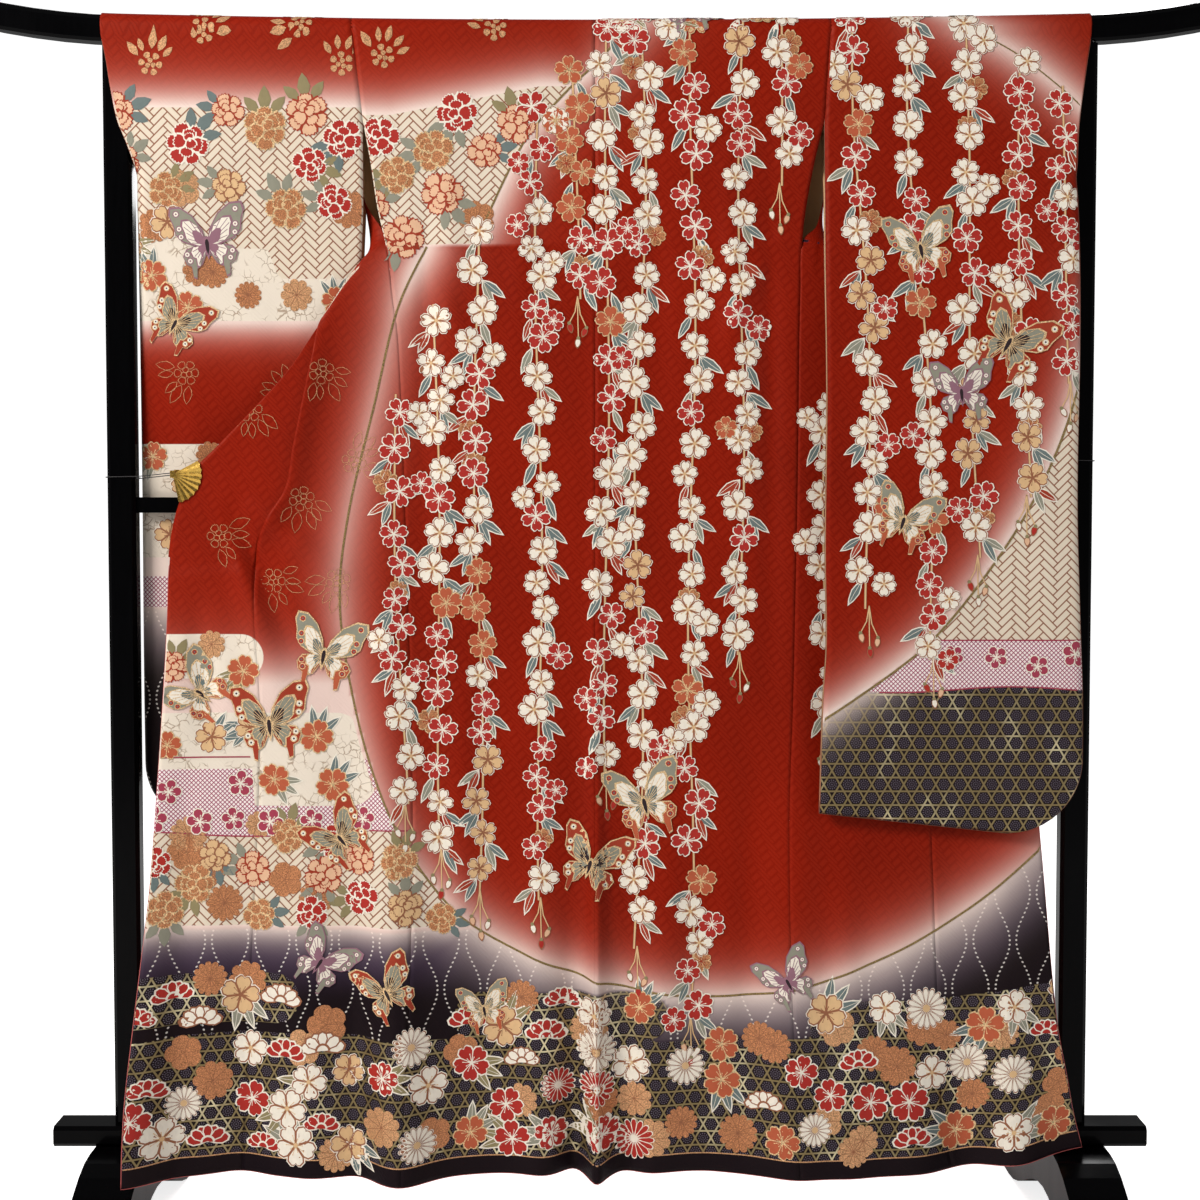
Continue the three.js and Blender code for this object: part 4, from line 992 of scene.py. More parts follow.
def collar_surface(half):
    side = half["side"]
    # x, depth, level, and 1 where the band follows the hanging cloth
    path = [(half["edge_x"](level) + side * out, 0, level, 1) for level, out in COLLAR_TAIL]
    path += [(row[3], 0, row[4], 1) for row in half["front"] if row[4] > COLLAR_TAIL[-1][0] + 10]
    path += [(row[3], row[4], row[5], 0) for row in half["pouch"]]
    last = len(path) - 1
    row_number = row_reader([math.dist(a[:3:2], b[:3:2]) for a, b in zip(path, path[1:])])

    def inwards(i):
        if i == last:
            return (0, -COLLAR_WIDTH)
        before, after = path[max(i - 1, 0)], path[i + 1]
        dx, dz = after[0] - before[0], after[2] - before[2]
        length = math.hypot(dx, dz)
        return (-side * dz / length * COLLAR_WIDTH, side * dx / length * COLLAR_WIDTH)

    rows = [(*place, *inwards(i)) for i, place in enumerate(path)]

    def surface(u, v):
        share = (u if side < 0 else 1 - u) + COLLAR_SHIFT
        x, y, z, drawn, in_x, in_z = along_rows(rows, min(row_number(v), last - 0.0001))
        x, z = x + in_x * share, z + in_z * share
        behind = CLOTH + COLLAR_BEHIND
        depth = lerp(y + behind, curtain_depth(x, z) + LAP_DEPTH + behind, clamp(drawn, 0, 1))
        return Vector((x, depth, z)), x, max(z, PICTURE_END), 1.0

    return surface


def neck_surface(u, v):
    x = lerp(-NECK_HALF + SEAM, NECK_HALF - SEAM, u)
    drop = lerp(COLLAR_WIDTH, 1, v)
    point = Vector((x, WRAP + CLOTH + COLLAR_BEHIND, RAIL_LINE - SHOULDER_DROP - drop))
    return point, x, 1600 - drop, 1.0


def red_only(x, z):
    return all_grounds(x)


for name, cells, surface, flat in (
    ("left", (12, 150), collar_surface(LEFT), (0.055, 0.86)),
    ("right", (12, 150), collar_surface(RIGHT), (0.055, 0.86)),
    ("neck", (36, 12), neck_surface, (0.19, 0.055)),
):
    band = hang_cloth("collar_band_" + name, cells, surface, red_only, "collar_" + name)
    wall = band.modifiers["lining"]
    wall.thickness = (COLLAR_CLOTH - 0.2) * MM  # two layers round the core
    wall.material_offset, wall.material_offset_rim = 0, 0

# ---- Sleeves ------------------------------------------------------------------------------
# Each is one cloth folded at the top, sewn up at the bottom and below the cuff, with a
# rounded lower corner. The layers roll together at the closed edges.

SLEEVE_SEAL = 14  # how far in from a closed edge the layers have parted
SHEAR_FROM = 1100  # below this level the sleeve's weight draws it out of square
LEFT_SLEEVE = {
    "half": LEFT, "bottom": 562, "round": 84, "shear": 6, "closed_below": 1456,
    "inner": [(1515, -317), (1400, -318), (1327, -321), (1000, -321), (562, -318)],
    "near": [
        (1633, -667, -19, -19), (1600, -660, -19, -19), (1560, -654, -19.6, -19),
        (1515, -645, -20.3, -19), (1485, -633, -19, -19), (1456, -624.5, -17, -18),
        (1400, -624, -12, -14), (1300, -624, -5, -6), (1150, -624.5, 3, 3), (1006, -625, 10, 10),
        (740, -626, 12.5, 12.5), (562, -625, 13, 13),
    ],
    "far": [
        (1633, -667, 19, 19), (1600, -660, 19, 19), (1560, -654, 19.3, 19.3), (1515, -645, 19.6, 20),
        (1485, -633, 20, 20.5), (1456, -624.5, 21, 21), (1300, -624, 24, 24), (1006, -625, 26.5, 26.5),
        (562, -625, 28, 28),
    ],
    # x0, z0, x1, z1, half width, how far it stands out in the middle: short for each layer
    "creases": [
        (-640, 1560, -420, 1450, 16, 1.8), (-600, 1420, -360, 1480, 14, -1.6), (-560, 1330, -540, 700, 22, 2.2),
        (-430, 1400, -440, 800, 20, -2.0), (-380, 1240, -600, 1180, 12, 1.2),
    ],
}
RIGHT_SLEEVE = {
    "half": RIGHT, "bottom": 562, "round": 100, "shear": 27, "closed_below": 1446,
    "inner": [
        (1515, 300), (1329, 298.5), (1141, 301), (938, 300), (802, 302), (720, 298), (562, 294),
    ],
    "near": [
        (1633, 656, -19, -19), (1600, 651, -19, -20), (1560, 645, -19.6, -24), (1515, 638, -20.3, -32),
        (1485, 635, -26, -38), (1446, 633, -35, -45), (1400, 634.5, -46, -53), (1300, 636, -60, -62),
        (1200, 636, -65, -65), (1006, 635, -65, -65), (835, 641, -66, -66), (740, 645, -66, -66),
        (562, 646, -66, -66),
    ],
    "far": [
        (1633, 656, 19, 19), (1600, 645, 19, 19.3), (1565, 626.8, 18.6, 18.6), (1515, 624.5, 16, 9),
        (1485, 624.5, 8, -3), (1446, 627, -8, -21), (1400, 634.5, -26, -35), (1300, 636, -43, -46),
        (1200, 636, -51, -51), (1006, 635, -51, -51), (835, 641, -51.5, -51.5), (562, 646, -51.5, -51.5),
    ],
    "creases": [
        (640, 1600, 420, 1440, 15, 1.8), (360, 1560, 600, 1470, 13, -1.4), (400, 1380, 410, 760, 20, 1.9),
        (520, 1420, 512, 640, 22, -2.1), (590, 1300, 600, 700, 16, 1.4), (340, 1200, 346, 660, 14, -1.3),
    ],
}


SLEEVES = (("left", LEFT_SLEEVE), ("right", RIGHT_SLEEVE))


def read_layer(rows):
    return [line_through([(row[0], row[i]) for row in rows]) for i in (1, 2, 3)]


def inner_x(spec, level):
    half = spec["half"]
    if level > half["armhole"][3]:
        return armhole_x(half, level)
    return spec["inner_line"](level) + half["side"] * SEAM / 2


def corner_in(spec, rise):
    """How far the rounded lower corner draws the outer edge in."""
    corner = spec["round"]
    return corner - math.sqrt(corner**2 - (corner - rise) ** 2) if rise < corner else 0


def sheared(spec, t, level):
    """How much lower or higher than square the sleeve hangs at its inner edge."""
    return spec["shear"] * (1 - t) * smooth(SHEAR_FROM, spec["bottom"], level)


def crease_depth(creases, x, z):
    depth = 0.0
    for x0, z0, x1, z1, width, height in creases:
        t, away = near_crease(x, z, x0, z0, x1, z1, width, width)
        if away < CREASE_REACH:
            depth += height * math.sin(math.pi * clamp(t, 0.04, 0.96)) * math.exp(-away)
    return depth


for _, spec in SLEEVES:
    spec["inner_line"] = line_through(spec["inner"])


def sleeve_layer(spec, near):
    """(x across, level) on one layer, to its depth and how far the layers are parted."""
    side, corner = spec["half"]["side"], spec["round"]
    both = [read_layer(spec["near"]), read_layer(spec["far"])]
    out, y_in, y_out = both[0] if near else both[1]
    sign = -1 if near else 1

    def layer(t, rise):
        level = spec["bottom"] + rise
        edge = out(level)
        x = lerp(inner_x(spec, level), edge - side * corner_in(spec, rise), t)
        z = level + sheared(spec, t, level)
        opened = lerp(y_in(level), y_out(level), t)
        to_outer = abs(edge - x)
        from_seal = min(to_outer, rise)
        if to_outer < corner and rise < corner:
            from_seal = corner - math.hypot(corner - to_outer, corner - rise)
        parted = math.sqrt(1 - (1 - clamp(from_seal / SLEEVE_SEAL, 0, 1)) ** 2)
        middle = sum(lerp(rows[1](level), rows[2](level), t) for rows in both) / 2 + sign * SEAM / 2
        closed = smooth(spec["closed_below"] + 12, spec["closed_below"] - 14, level)
        y = lerp(opened, lerp(middle, opened, parted), closed)
        room = smooth(0, 60, from_seal) * smooth(1610, 1500, level)
        waves = crease_depth(spec["creases"], x, z) + slack(x, z, 1.1)
        y += sign * room * waves * (1 if near else 0.7)
        return Vector((x, y, z)), lerp(1, parted, closed)

    return layer


def sleeve_surface(spec):
    side = spec["half"]["side"]
    near, far = sleeve_layer(spec, True), sleeve_layer(spec, False)
    out = read_layer(spec["near"])[0]
    drop = RAIL_LINE - spec["bottom"]
    turn_share = 0.5 * TURN_LENGTH / (drop + TURN_LENGTH / 2)
    toward_outer, toward_bottom = 1.3, 1.25  # crowds the cells towards the closed edges

    def surface(u, v):
        t = 1 - (1 - (u if side > 0 else 1 - u)) ** toward_outer
        from_top = abs(2 * v - 1)
        if from_top < turn_share:
            past = TURN_LENGTH / 2 * (1 + (from_top if v > 0.5 else -from_top) / turn_share)
            height = RAIL_LINE + WRAP * math.sin(past / WRAP)
            x = lerp(inner_x(spec, height), out(height), t)
            return over_rail(x, past), x, RAIL_LINE + min(past, TURN_LENGTH - past), 1.0
        rise = drop * ((1 - from_top) / (1 - turn_share)) ** toward_bottom
        point, parted = (near if v < 0.5 else far)(t, min(rise, drop))
        return point, point.x, point.z, max(0.06, parted)

    return surface


for (name, spec), grounds in zip(SLEEVES, (left_sleeve_grounds, right_sleeve_grounds)):
    hang_cloth("sleeve_cloth_" + name, (56, 400), sleeve_surface(spec), grounds, "sleeve_" + name)

# ---- Drawing on the silk ------------------------------------------------------------------
# Motifs are painted in flat colours, and some are laid in gold leaf. Each is drawn on the flat
# cloth, layer over layer, and then laid on the hanging silk.

PAINT_LIFT, LAYER_LIFT, PAINT_CELL = 0.5, 0.09, 9.0


def paint(red, green, blue, leaf=False):
    """A painted colour. Its fourth number is 0 where gold leaf lies."""
    return (*colour_of(red, green, blue)[:3], 0.0 if leaf else 1.0)


IVORY, BLUSH = paint(236, 227, 212), paint(222, 178, 144)
SIENNA, RUST, CRIMSON = paint(150, 96, 68), paint(158, 56, 34), paint(168, 42, 34)
ORANGE, TAN, ROSE = paint(180, 88, 58), paint(216, 178, 132), paint(160, 58, 78)
LEAF_BLUE, LEAF_GREY, OLIVE = paint(104, 116, 114), paint(140, 138, 122), paint(140, 128, 92)
INK, LILAC = paint(46, 32, 36), paint(146, 104, 118)
GILT, PALE_GILT, DARK_GILT = paint(202, 152, 110, True), paint(224, 190, 144, True), paint(140, 118, 76, True)
COPPER = paint(188, 126, 86, True)


class Drawing:
    """Flat shapes on the spread-out cloth, told apart in height by their layer."""

    def __init__(self):
        self.bm = bmesh.new()
        self.paint = self.bm.loops.layers.float_color.new("paint")

    def tint(self, verts, colour):
        for loop in self.bm.faces.new(verts).loops:
            loop[self.paint] = colour

    def fill(self, outline, colour, layer):
        self.tint([self.bm.verts.new((x, z, layer)) for x, z in outline], colour)

    def line(self, points, width, colour, layer, closed=False):
        count = len(points)
        pairs = []
        for i, (x, z) in enumerate(points):
            before = points[(i - 1) % count] if closed else points[max(i - 1, 0)]
            after = points[(i + 1) % count] if closed else points[min(i + 1, count - 1)]
            dx, dz = after[0] - before[0], after[1] - before[1]
            length = math.hypot(dx, dz) or 1
            off_x, off_z = -dz / length * width / 2, dx / length * width / 2
            pairs.append((self.bm.verts.new((x + off_x, z + off_z, layer)),
                          self.bm.verts.new((x - off_x, z - off_z, layer))))
        for i in range(count if closed else count - 1):
            (a, b), (c, d) = pairs[i], pairs[(i + 1) % count]
            self.tint((a, b, d, c), colour)

    def dot(self, x, z, radius, colour, layer, sides=6):
        angles = [k * 2 * math.pi / sides for k in range(sides)]
        self.fill([(x + radius * math.cos(a), z + radius * math.sin(a)) for a in angles], colour, layer)

    def lay(self, name, place, limits, node):
        """Lays the drawing on the cloth, cut off where limits(z) says the cloth ends."""
        bm = self.bm
        bmesh.ops.poke(bm, faces=[face for face in bm.faces if len(face.verts) > 4])
        for _ in range(4):
            long_edges = [edge for edge in bm.edges if edge.calc_length() > PAINT_CELL]
            if not long_edges:
                break
            bmesh.ops.subdivide_edges(bm, edges=long_edges, cuts=1)
            bmesh.ops.triangulate(bm, faces=[face for face in bm.faces if len(face.verts) > 4])
        for vert in bm.verts:
            x, z, layer = vert.co
            left, right, low = limits(z)
            vert.co = place(clamp(x, left, right), max(z, low), PAINT_LIFT + LAYER_LIFT * layer) * MM
        bmesh.ops.dissolve_degenerate(bm, dist=2e-5, edges=bm.edges[:])
        for face in bm.faces:
            face.smooth = True
        piece = place_mesh(name, bm, painted)
        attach(piece, "root")
        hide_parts(node)
        return piece


painted, tree, shader = new_material("painted and gilded silk", Roughness=0.55, Specular_IOR_Level=0.2)
colours = tree.nodes.new("ShaderNodeAttribute")
colours.attribute_name = "paint"
place = on_object(tree)
brush = noise_at(stretched(place, (170, 170, 110)), 1.0, 3.0, 0.6)
leaf_here = less(colours.outputs["Alpha"])
# painted sparkle: fine specks brighten and darken the gold leaf's colour, standing in for light glittering off it
glitter = noise_at(stretched(place, (700, 700, 700)), 1.0, 1.0)
painted_leaf_sparkle = calc("MULTIPLY", leaf_here, calc("MULTIPLY_ADD", glitter, 2.2, -1.1))
# the paint's colour is scaled by its brush-stroke tone and, on gold leaf, by the painted sparkle
brush_tone_and_sparkle = calc("ADD", calc("MULTIPLY_ADD", brush, 0.24, 0.86), painted_leaf_sparkle)
tinted = tree.nodes.new("ShaderNodeVectorMath")
tinted.operation = "SCALE"
join(tinted.inputs[0], colours.outputs["Color"])
join(tinted.inputs["Scale"], brush_tone_and_sparkle)
join(shader.inputs["Base Color"], tinted.outputs[0])
join(shader.inputs["Metallic"], calc("MULTIPLY", leaf_here, 0.3))
join(shader.inputs["Roughness"], calc("MULTIPLY_ADD", leaf_here, -0.16, 0.55))
bump(shader, calc("ADD", brush, calc("MULTIPLY", glitter, leaf_here)), 0.0002, 0.5)

# ---- Flowers, leaves and butterflies ------------------------------------------------------
# Weeping cherry, plum, chrysanthemum, peony, pine and butterflies. Each is built up from a few
# petals or wings: a rim, then its colour, then the fine lines, as a dyer lays them.


def moved(outline, x, z, size, turn, squash=1.0):
    """An outline drawn upwards at size 1: sized, squashed across, turned anticlockwise, put in place."""
    c, s = math.cos(turn) * size, math.sin(turn) * size
    return [(x + a * squash * c - b * s, z + a * squash * s + b * c) for a, b in outline]


def towards(x, z, turn, reach):
    """The point that far off, in the direction an outline turned so would point."""
    return x - reach * math.sin(turn), z + reach * math.cos(turn)

def both_sides(half_outline):
    return half_outline + [(-a, b) for a, b in half_outline[::-1] if a > 0.001]


def swollen(outline, share):
    """The outline made larger about its own middle."""
    mid_a = sum(a for a, _ in outline) / len(outline)
    mid_b = sum(b for _, b in outline) / len(outline)
    return [(mid_a + (a - mid_a) * share, mid_b + (b - mid_b) * share) for a, b in outline]


CHERRY = both_sides([
    (0.0, 0.08), (0.18, 0.3), (0.37, 0.58), (0.385, 0.8), (0.22, 0.98), (0.1, 0.98), (0.0, 0.88),
])
PLUM_PETAL = both_sides([(0.0, 0.12), (0.22, 0.36), (0.36, 0.64), (0.26, 0.9), (0.0, 1.0)])
KIKU = both_sides([(0.0, 0.2), (0.07, 0.45), (0.125, 0.8), (0.08, 0.96), (0.0, 1.0)])
BLADE = both_sides([(0.0, 0.0), (0.09, 0.22), (0.13, 0.46), (0.08, 0.78), (0.0, 1.0)])
SHELL = both_sides([
    (0.0, -0.5), (0.36, -0.3), (0.54, 0.1), (0.5, 0.42), (0.34, 0.4), (0.26, 0.58), (0.1, 0.5), (0.0, 0.62),
])
BUD = both_sides([(0.0, 0.0), (0.24, 0.3), (0.26, 0.6), (0.12, 0.9), (0.0, 1.0)])

# rim, petal, what the middle is drawn in
LOOKS = {
    "white": (SIENNA, IVORY, TAN), "crimson": (IVORY, CRIMSON, IVORY), "orange": (PALE_GILT, ORANGE, PALE_GILT),
    "tan": (SIENNA, TAN, SIENNA), "gilt": (PALE_GILT, COPPER, RUST), "rust": (RUST, BLUSH, RUST),
    "dyed": (IVORY, ROSE, IVORY),
}


def blossom(draw, x, z, size, turn, look, layer=0, petal=CHERRY, count=5, squash=1.0):
    rim, fill, middle = LOOKS[look]
    if look in ("white", "tan"):  # a pale line outside the brown one
        rings = ((0, 1.28, IVORY), (1, 1.14, rim), (2, 0.94, fill))
    else:
        rings = ((1, 1.24, rim), (2, 1.02, fill))
    for lift, share, colour in rings:
        for k in range(count):
            angle = turn + k * 2 * math.pi / count
            draw.fill(moved(swollen(petal, share), x, z, size, angle, squash), colour, layer + lift)
    if count == 5:
        for k in range(10):
            reach = size * (0.5 if k % 2 else 0.34)
            angle = turn + (k + 0.5) * math.pi / 5 + math.pi / 2
            tip = (x + reach * math.cos(angle), z + reach * math.sin(angle))
            draw.line([(x, z), tip], 0.75, middle, layer + 3)
            draw.dot(*tip, 0.9, middle, layer + 3, 5)
    draw.dot(x, z, size * (0.12 if count == 5 else 0.2), middle, layer + 3, 8)


def leaf(draw, x, z, length, turn, look=LEAF_BLUE, layer=0, rim=IVORY, broad=1.25):
    draw.fill(moved(BLADE, x, z, length, turn, broad), rim, layer)
    draw.fill(moved(swollen(BLADE, 0.84), x, z, length, turn, broad * 0.9), look, layer + 1)
    draw.line(moved([(0, 0.1), (0.01, 0.5), (0, 0.9)], x, z, length, turn), 0.6, rim, layer + 2)


def peony(draw, x, z, size, turn, look, layer=0):
    """Rows of scalloped petals, the lower ones spread and the upper ones cupped."""
    rim, fill, middle = LOOKS[look]
    rows = ((0.62, 6, 0.54), (0.34, 4, 0.5), (0.12, 2, 0.38))
    for number, (out, count, width) in enumerate(rows):
        x, z = x - 0.07 * size * math.sin(turn) * number, z + 0.07 * size * math.cos(turn) * number
        for k in range(count):
            angle = turn + number * 0.5 + k * 2 * math.pi / count
            at, reach = towards(x, z, angle, out * size), width * size * (1.1 if k % 2 else 0.96)
            for lift, (share, colour) in enumerate(((1.18, rim), (0.92, fill))):
                petal = moved(swollen(SHELL, share), *at, reach, angle, 1.1)
                draw.fill(petal, colour, layer + 4 * number + 2 * (k % 2) + lift)
    draw.dot(x, z, size * 0.07, rim, layer + 12, 6)


def peony_leaves(draw, x, z, size, turn, look=OLIVE):
    for spread in (-0.75, 0.0, 0.75):
        root = towards(x, z, turn + spread * 0.5, 0.72 * size)
        leaf(draw, *root, size * (1.15 - 0.25 * abs(spread)), turn + spread, look, 0, look, 2.0)


def pine(draw, x, z, width, look, layer=0, turn=0.0):
    """A clump of pine needles, stylised as a low fan of lobes over a fringe."""
    rim, fill, middle = LOOKS[look]
    for k in range(9):
        lean = -1.5 + 3.0 * k / 8
        fringe = [(0.1 * math.sin(lean), -0.1), (0.42 * math.sin(lean * 1.04), -0.14 - 0.09 * math.cos(lean))]
        draw.line(moved(fringe, x, z, width, turn), 1.3, LEAF_BLUE, layer)
    for k, lean in enumerate((-1.4, -0.93, -0.47, 0.0, 0.47, 0.93, 1.4)):
        reach = 0.5 - 0.1 * math.cos(lean)
        for share, colour, lift in ((1.22, rim, 1), (0.94, fill, 2)):
            lobe = moved(swollen(PLUM_PETAL, share), 0, -0.18, reach, -lean, 0.68)
            draw.fill(moved(lobe, x, z, width, turn), colour, layer + lift + 2 * (k % 2))
    for radius, colour, lift in ((0.17, rim, 5), (0.12, fill, 6)):
        angles = [math.pi * k / 8 for k in range(9)]
        base = [(radius * math.cos(a), radius * math.sin(a) - 0.19) for a in angles]
        draw.fill(moved(base, x, z, width, turn), colour, layer + lift)


FOREWING = [(0.02, 0.04), (0.1, 0.38), (0.34, 0.74), (0.68, 0.97), (0.97, 0.97), (1.02, 0.78), (0.92, 0.52),
            (0.88, 0.28), (0.7, 0.1), (0.4, -0.01), (0.1, -0.04)]
HINDWING = [(0.03, -0.02), (0.34, -0.02), (0.62, -0.08), (0.74, -0.26), (0.66, -0.46), (0.52, -0.52),
            (0.5, -0.8), (0.4, -0.84), (0.36, -0.58), (0.2, -0.5), (0.06, -0.26)]
# edge, band on the fore and on the hind wing, pale middle, cell, spot
WINGS = {
    "grey": (PALE_GILT, LEAF_GREY, ORANGE, IVORY, LEAF_BLUE, CRIMSON),
    "red": (PALE_GILT, RUST, RUST, LEAF_GREY, INK, IVORY),
    "plum": (LILAC, LEAF_GREY, LEAF_GREY, IVORY, LILAC, IVORY),
}


def butterfly(draw, x, z, size, turn, look, layer=4):
    edge, fore_band, hind_band, pale, cell, spot = WINGS[look]

    def put(outline):
        return moved(outline, x, z, size, turn)

    for side, reach in ((1, 1.0), (-1, 0.86)):
        for wing, band, spots_at in ((HINDWING, hind_band, (3, 4)), (FOREWING, fore_band, (4, 6, 7))):
            shape = [(a * side * reach, b) for a, b in wing]
            root = [(a * 0.62 + 0.02 * side, b * 0.62) for a, b in shape]
            draw.fill(put(shape), edge, layer)
            draw.fill(put(swollen(shape, 0.91)), band, layer + 1)
            for lift, (share, colour) in enumerate(((1.08, edge), (1.0, pale), (0.6, cell)), 2):
                draw.fill(put([(a * share, b * share) for a, b in root]), colour, layer + lift)
            for tip in shape[2:9]:
                draw.line(put([(0.03 * side, 0), (tip[0] * 0.6, tip[1] * 0.6)]), 0.8, edge, layer + 5)
            for k in spots_at:
                eye = put([(shape[k][0] * 0.82, shape[k][1] * 0.82)])[0]
                for lift, (share, colour, sides) in enumerate(
                        ((0.085, edge, 9), (0.06, spot, 8), (0.025, cell, 6)), 3):
                    draw.dot(*eye, size * share, colour, layer + lift, sides)
        feeler = [(0.02 * side, 0.08), (0.1 * side, 0.3), (0.2 * side, 0.44), (0.28 * side, 0.42)]
        draw.line(put(feeler), 1.1, edge, layer + 4)
    body = both_sides([(0.0, -0.4), (0.06, -0.2), (0.075, 0.05), (0.05, 0.16), (0.0, 0.2)])
    draw.fill(put(body), edge, layer + 6)
    draw.fill(put(swollen(body, 0.66)), INK, layer + 7)


BUD_DROP = 52  # from a branch's end to its lowest bud


def buds(draw, x, z, rng, layer=2):
    """Three buds on thin forks, where a branch ends."""
    for lean, drop in ((-0.34, 34), (0.02, BUD_DROP), (0.3, 40)):
        tip = (x + drop * math.sin(lean), z - drop * math.cos(lean))
        draw.line([(x, z + 4), (x + 0.3 * (tip[0] - x), z - 0.5 * drop), tip], 1.5, TAN, layer)
        turn = math.pi - lean + rng.uniform(-0.2, 0.2)
        draw.fill(moved(swollen(BUD, 1.2), *tip, 13, turn), SIENNA, layer + 1)
        draw.fill(moved(BUD, *tip, 12, turn), rng.choice((IVORY, BLUSH, CRIMSON)), layer + 2)
        draw.dot(*tip, 2.6, OLIVE, layer + 3)


CHANCE = {
    "leaves": 0.8, "gilt flower": 0.1, "side flower": 0.17, "next colour": 0.55, "flower's shadow": 0.22,
    "leaves under a flower": 0.6,
}
BRANCH_LOOKS = ["white"] * 12 + ["crimson"] * 7 + ["orange", "tan"]
LEAF_LOOKS = (LEAF_BLUE, LEAF_BLUE, LEAF_GREY, RUST)


def branch(draw, rng, x_top, z_top, x_low, z_low):
    """One hanging branch of weeping cherry."""
    phase, swing = rng.uniform(0, 6), rng.uniform(3, 7)
    end = z_low + BUD_DROP
    count = max(int((z_top - end) / 24), 3)
    stem = []
    for i in range(count + 1):
        t = i / count
        sway = swing * math.sin(phase + t * (z_top - end) / 120)
        stem.append((lerp(x_top, x_low, t) + sway, lerp(z_top, end, t)))
    draw.line(stem, 3.4, SIENNA, 0)
    draw.line(stem, 2.2, TAN, 1)
    read = line_through([(z, x) for x, z in stem])
    z, side, look = z_top - rng.uniform(6, 26), rng.choice((-1, 1)), rng.choice(BRANCH_LOOKS)
    while z > end + 16:
        x = read(z)
        size = rng.uniform(16.5, 21.0)
        off = side * rng.uniform(0, 10)
        if rng.random() < CHANCE["leaves"]:
            way = rng.choice((-1, 1))
            for spread in (0.42, 0.95)[:rng.choice((1, 2, 2))]:
                length, turn = rng.uniform(34, 42), math.pi + way * (spread + rng.uniform(-0.1, 0.1))
                leaf(draw, x + way * 5, z - 13, length, turn, rng.choice(LEAF_LOOKS), 2)
        if rng.random() < CHANCE["gilt flower"]:
            blossom(draw, x - off * 1.6, z + 12, size * 0.8, rng.uniform(0, 1.2), "gilt", 2)
        blossom(draw, x + off, z, size, rng.uniform(0, 1.25), look, 5, squash=rng.uniform(0.84, 1.0))
        if rng.random() < CHANCE["side flower"]:
            blossom(draw, x - side * 24, z - 18, size * 0.86, rng.uniform(0, 1.2), rng.choice(BRANCH_LOOKS), 8)
        if rng.random() < CHANCE["next colour"]:
            look = rng.choice(BRANCH_LOOKS)
        side = -side
        z -= size * rng.uniform(2.05, 2.85)
    buds(draw, x_low, end, rng)


def scatter(rng, box, spacing, tries, grounds, ground, margin):
    """Points a fair distance apart, inside one ground."""
    spots = [(rng.uniform(box[0], box[1]), rng.uniform(box[2], box[3])) for _ in range(tries)]
    depths = grounds(np.array([x for x, _ in spots]), np.array([z for _, z in spots]))[ground]
    chosen = []
    for (x, z), depth in zip(spots, depths):
        if depth > margin and all(math.hypot(x - a, z - b) > spacing for a, b in chosen):
            chosen.append((x, z))
    return chosen


GREENS = (OLIVE, LEAF_BLUE, LEAF_GREY)


def garden(draw, rng, spots, kinds, size, layer=2):
    """Mixed flowers at those spots. kinds is a list of (kind, look)."""
    for x, z in spots:
        kind, look = rng.choice(kinds)
        turn, full = rng.uniform(0, 6.28), size * rng.uniform(0.86, 1.12)
        if rng.random() < CHANCE["flower's shadow"]:
            silhouette(draw, rng, x, z, full)
        if kind == "peony":
            peony_leaves(draw, x, z, full, turn, rng.choice(GREENS))
            peony(draw, x, z, full, turn, look, layer)
        elif kind == "kiku":
            blossom(draw, x, z, full, turn, look, layer, KIKU, 16)
        elif kind == "pine":
            pine(draw, x, z, full * 2.3, look, layer, rng.uniform(-0.12, 0.12))
        elif kind == "shadow":
            silhouette(draw, rng, x, z, full, 0.0)
        elif kind == "plum":
            blossom(draw, x, z, full, turn, look, layer, PLUM_PETAL, 5)
        else:
            if rng.random() < CHANCE["leaves under a flower"]:
                green = rng.choice(GREENS)
                for way in (-0.55, 0.0, 0.5):
                    leaf(draw, x, z, full * 2.0, turn + way, green, 0)
            blossom(draw, x, z, full, turn, look, layer)


def silhouette(draw, rng, x, z, size, off=0.9):
    """A flower's shape in plain gold leaf, partly behind its neighbour."""
    lean, lobes = rng.uniform(0, 6.28), rng.choice((5, 9, 13))
    x, z = x + size * off * math.cos(lean), z + size * off * math.sin(lean)
    outline = []
    for k in range(lobes * 6):
        angle = k * math.pi / 3 / lobes
        reach = size * (0.82 + 0.2 * abs(math.sin(angle * lobes / 2)) ** 0.5)
        outline.append((x + reach * math.cos(angle), z + reach * math.sin(angle)))
    draw.fill(outline, rng.choice((GILT, COPPER, COPPER)), 0)
    for k in range(lobes):
        angle = k * 2 * math.pi / lobes
        tip = (x + 0.8 * size * math.cos(angle), z + 0.8 * size * math.sin(angle))
        draw.line([(x, z), tip], 0.7, SIENNA, 1)


def gold_spray(draw, rng, x, z, size, solid):
    """A peony and its leaves in gold leaf only, on the red: solid, or drawn in line."""
    lean = rng.uniform(0, 6.28)
    shapes = []
    for out, reach, count in ((0.5, 0.44, 6), (0.16, 0.34, 3)):
        for k in range(count):
            angle = lean + out + k * 2 * math.pi / count
            shapes.append(moved(SHELL, *towards(x, z, angle, out * size), reach * size, angle))
    for spread in (-1.1, -0.5, 0.1, 0.6, 1.2):
        turn = lean + spread + rng.uniform(-0.12, 0.12)
        length = size * rng.uniform(0.9, 1.4)
        shapes.append(moved(BLADE, *towards(x, z, turn, 0.8 * size), length, turn - 0.3 * spread, 1.8))
    for shape in shapes:
        if solid:
            draw.fill(swollen(shape, 0.86), GILT, 0)
        else:
            draw.line(shape, 0.65, GILT, 0, True)

# ---- Motifs on the body -------------------------------------------------------------------
# Branches of weeping cherry hang over the red field with butterflies among them. Peonies and
# cherry lie on the plaited and waxed grounds, and a thick scatter of flowers along the hem.


PAINT_EDGE = 1.5  # the drawing stops this far inside the cloth's edge


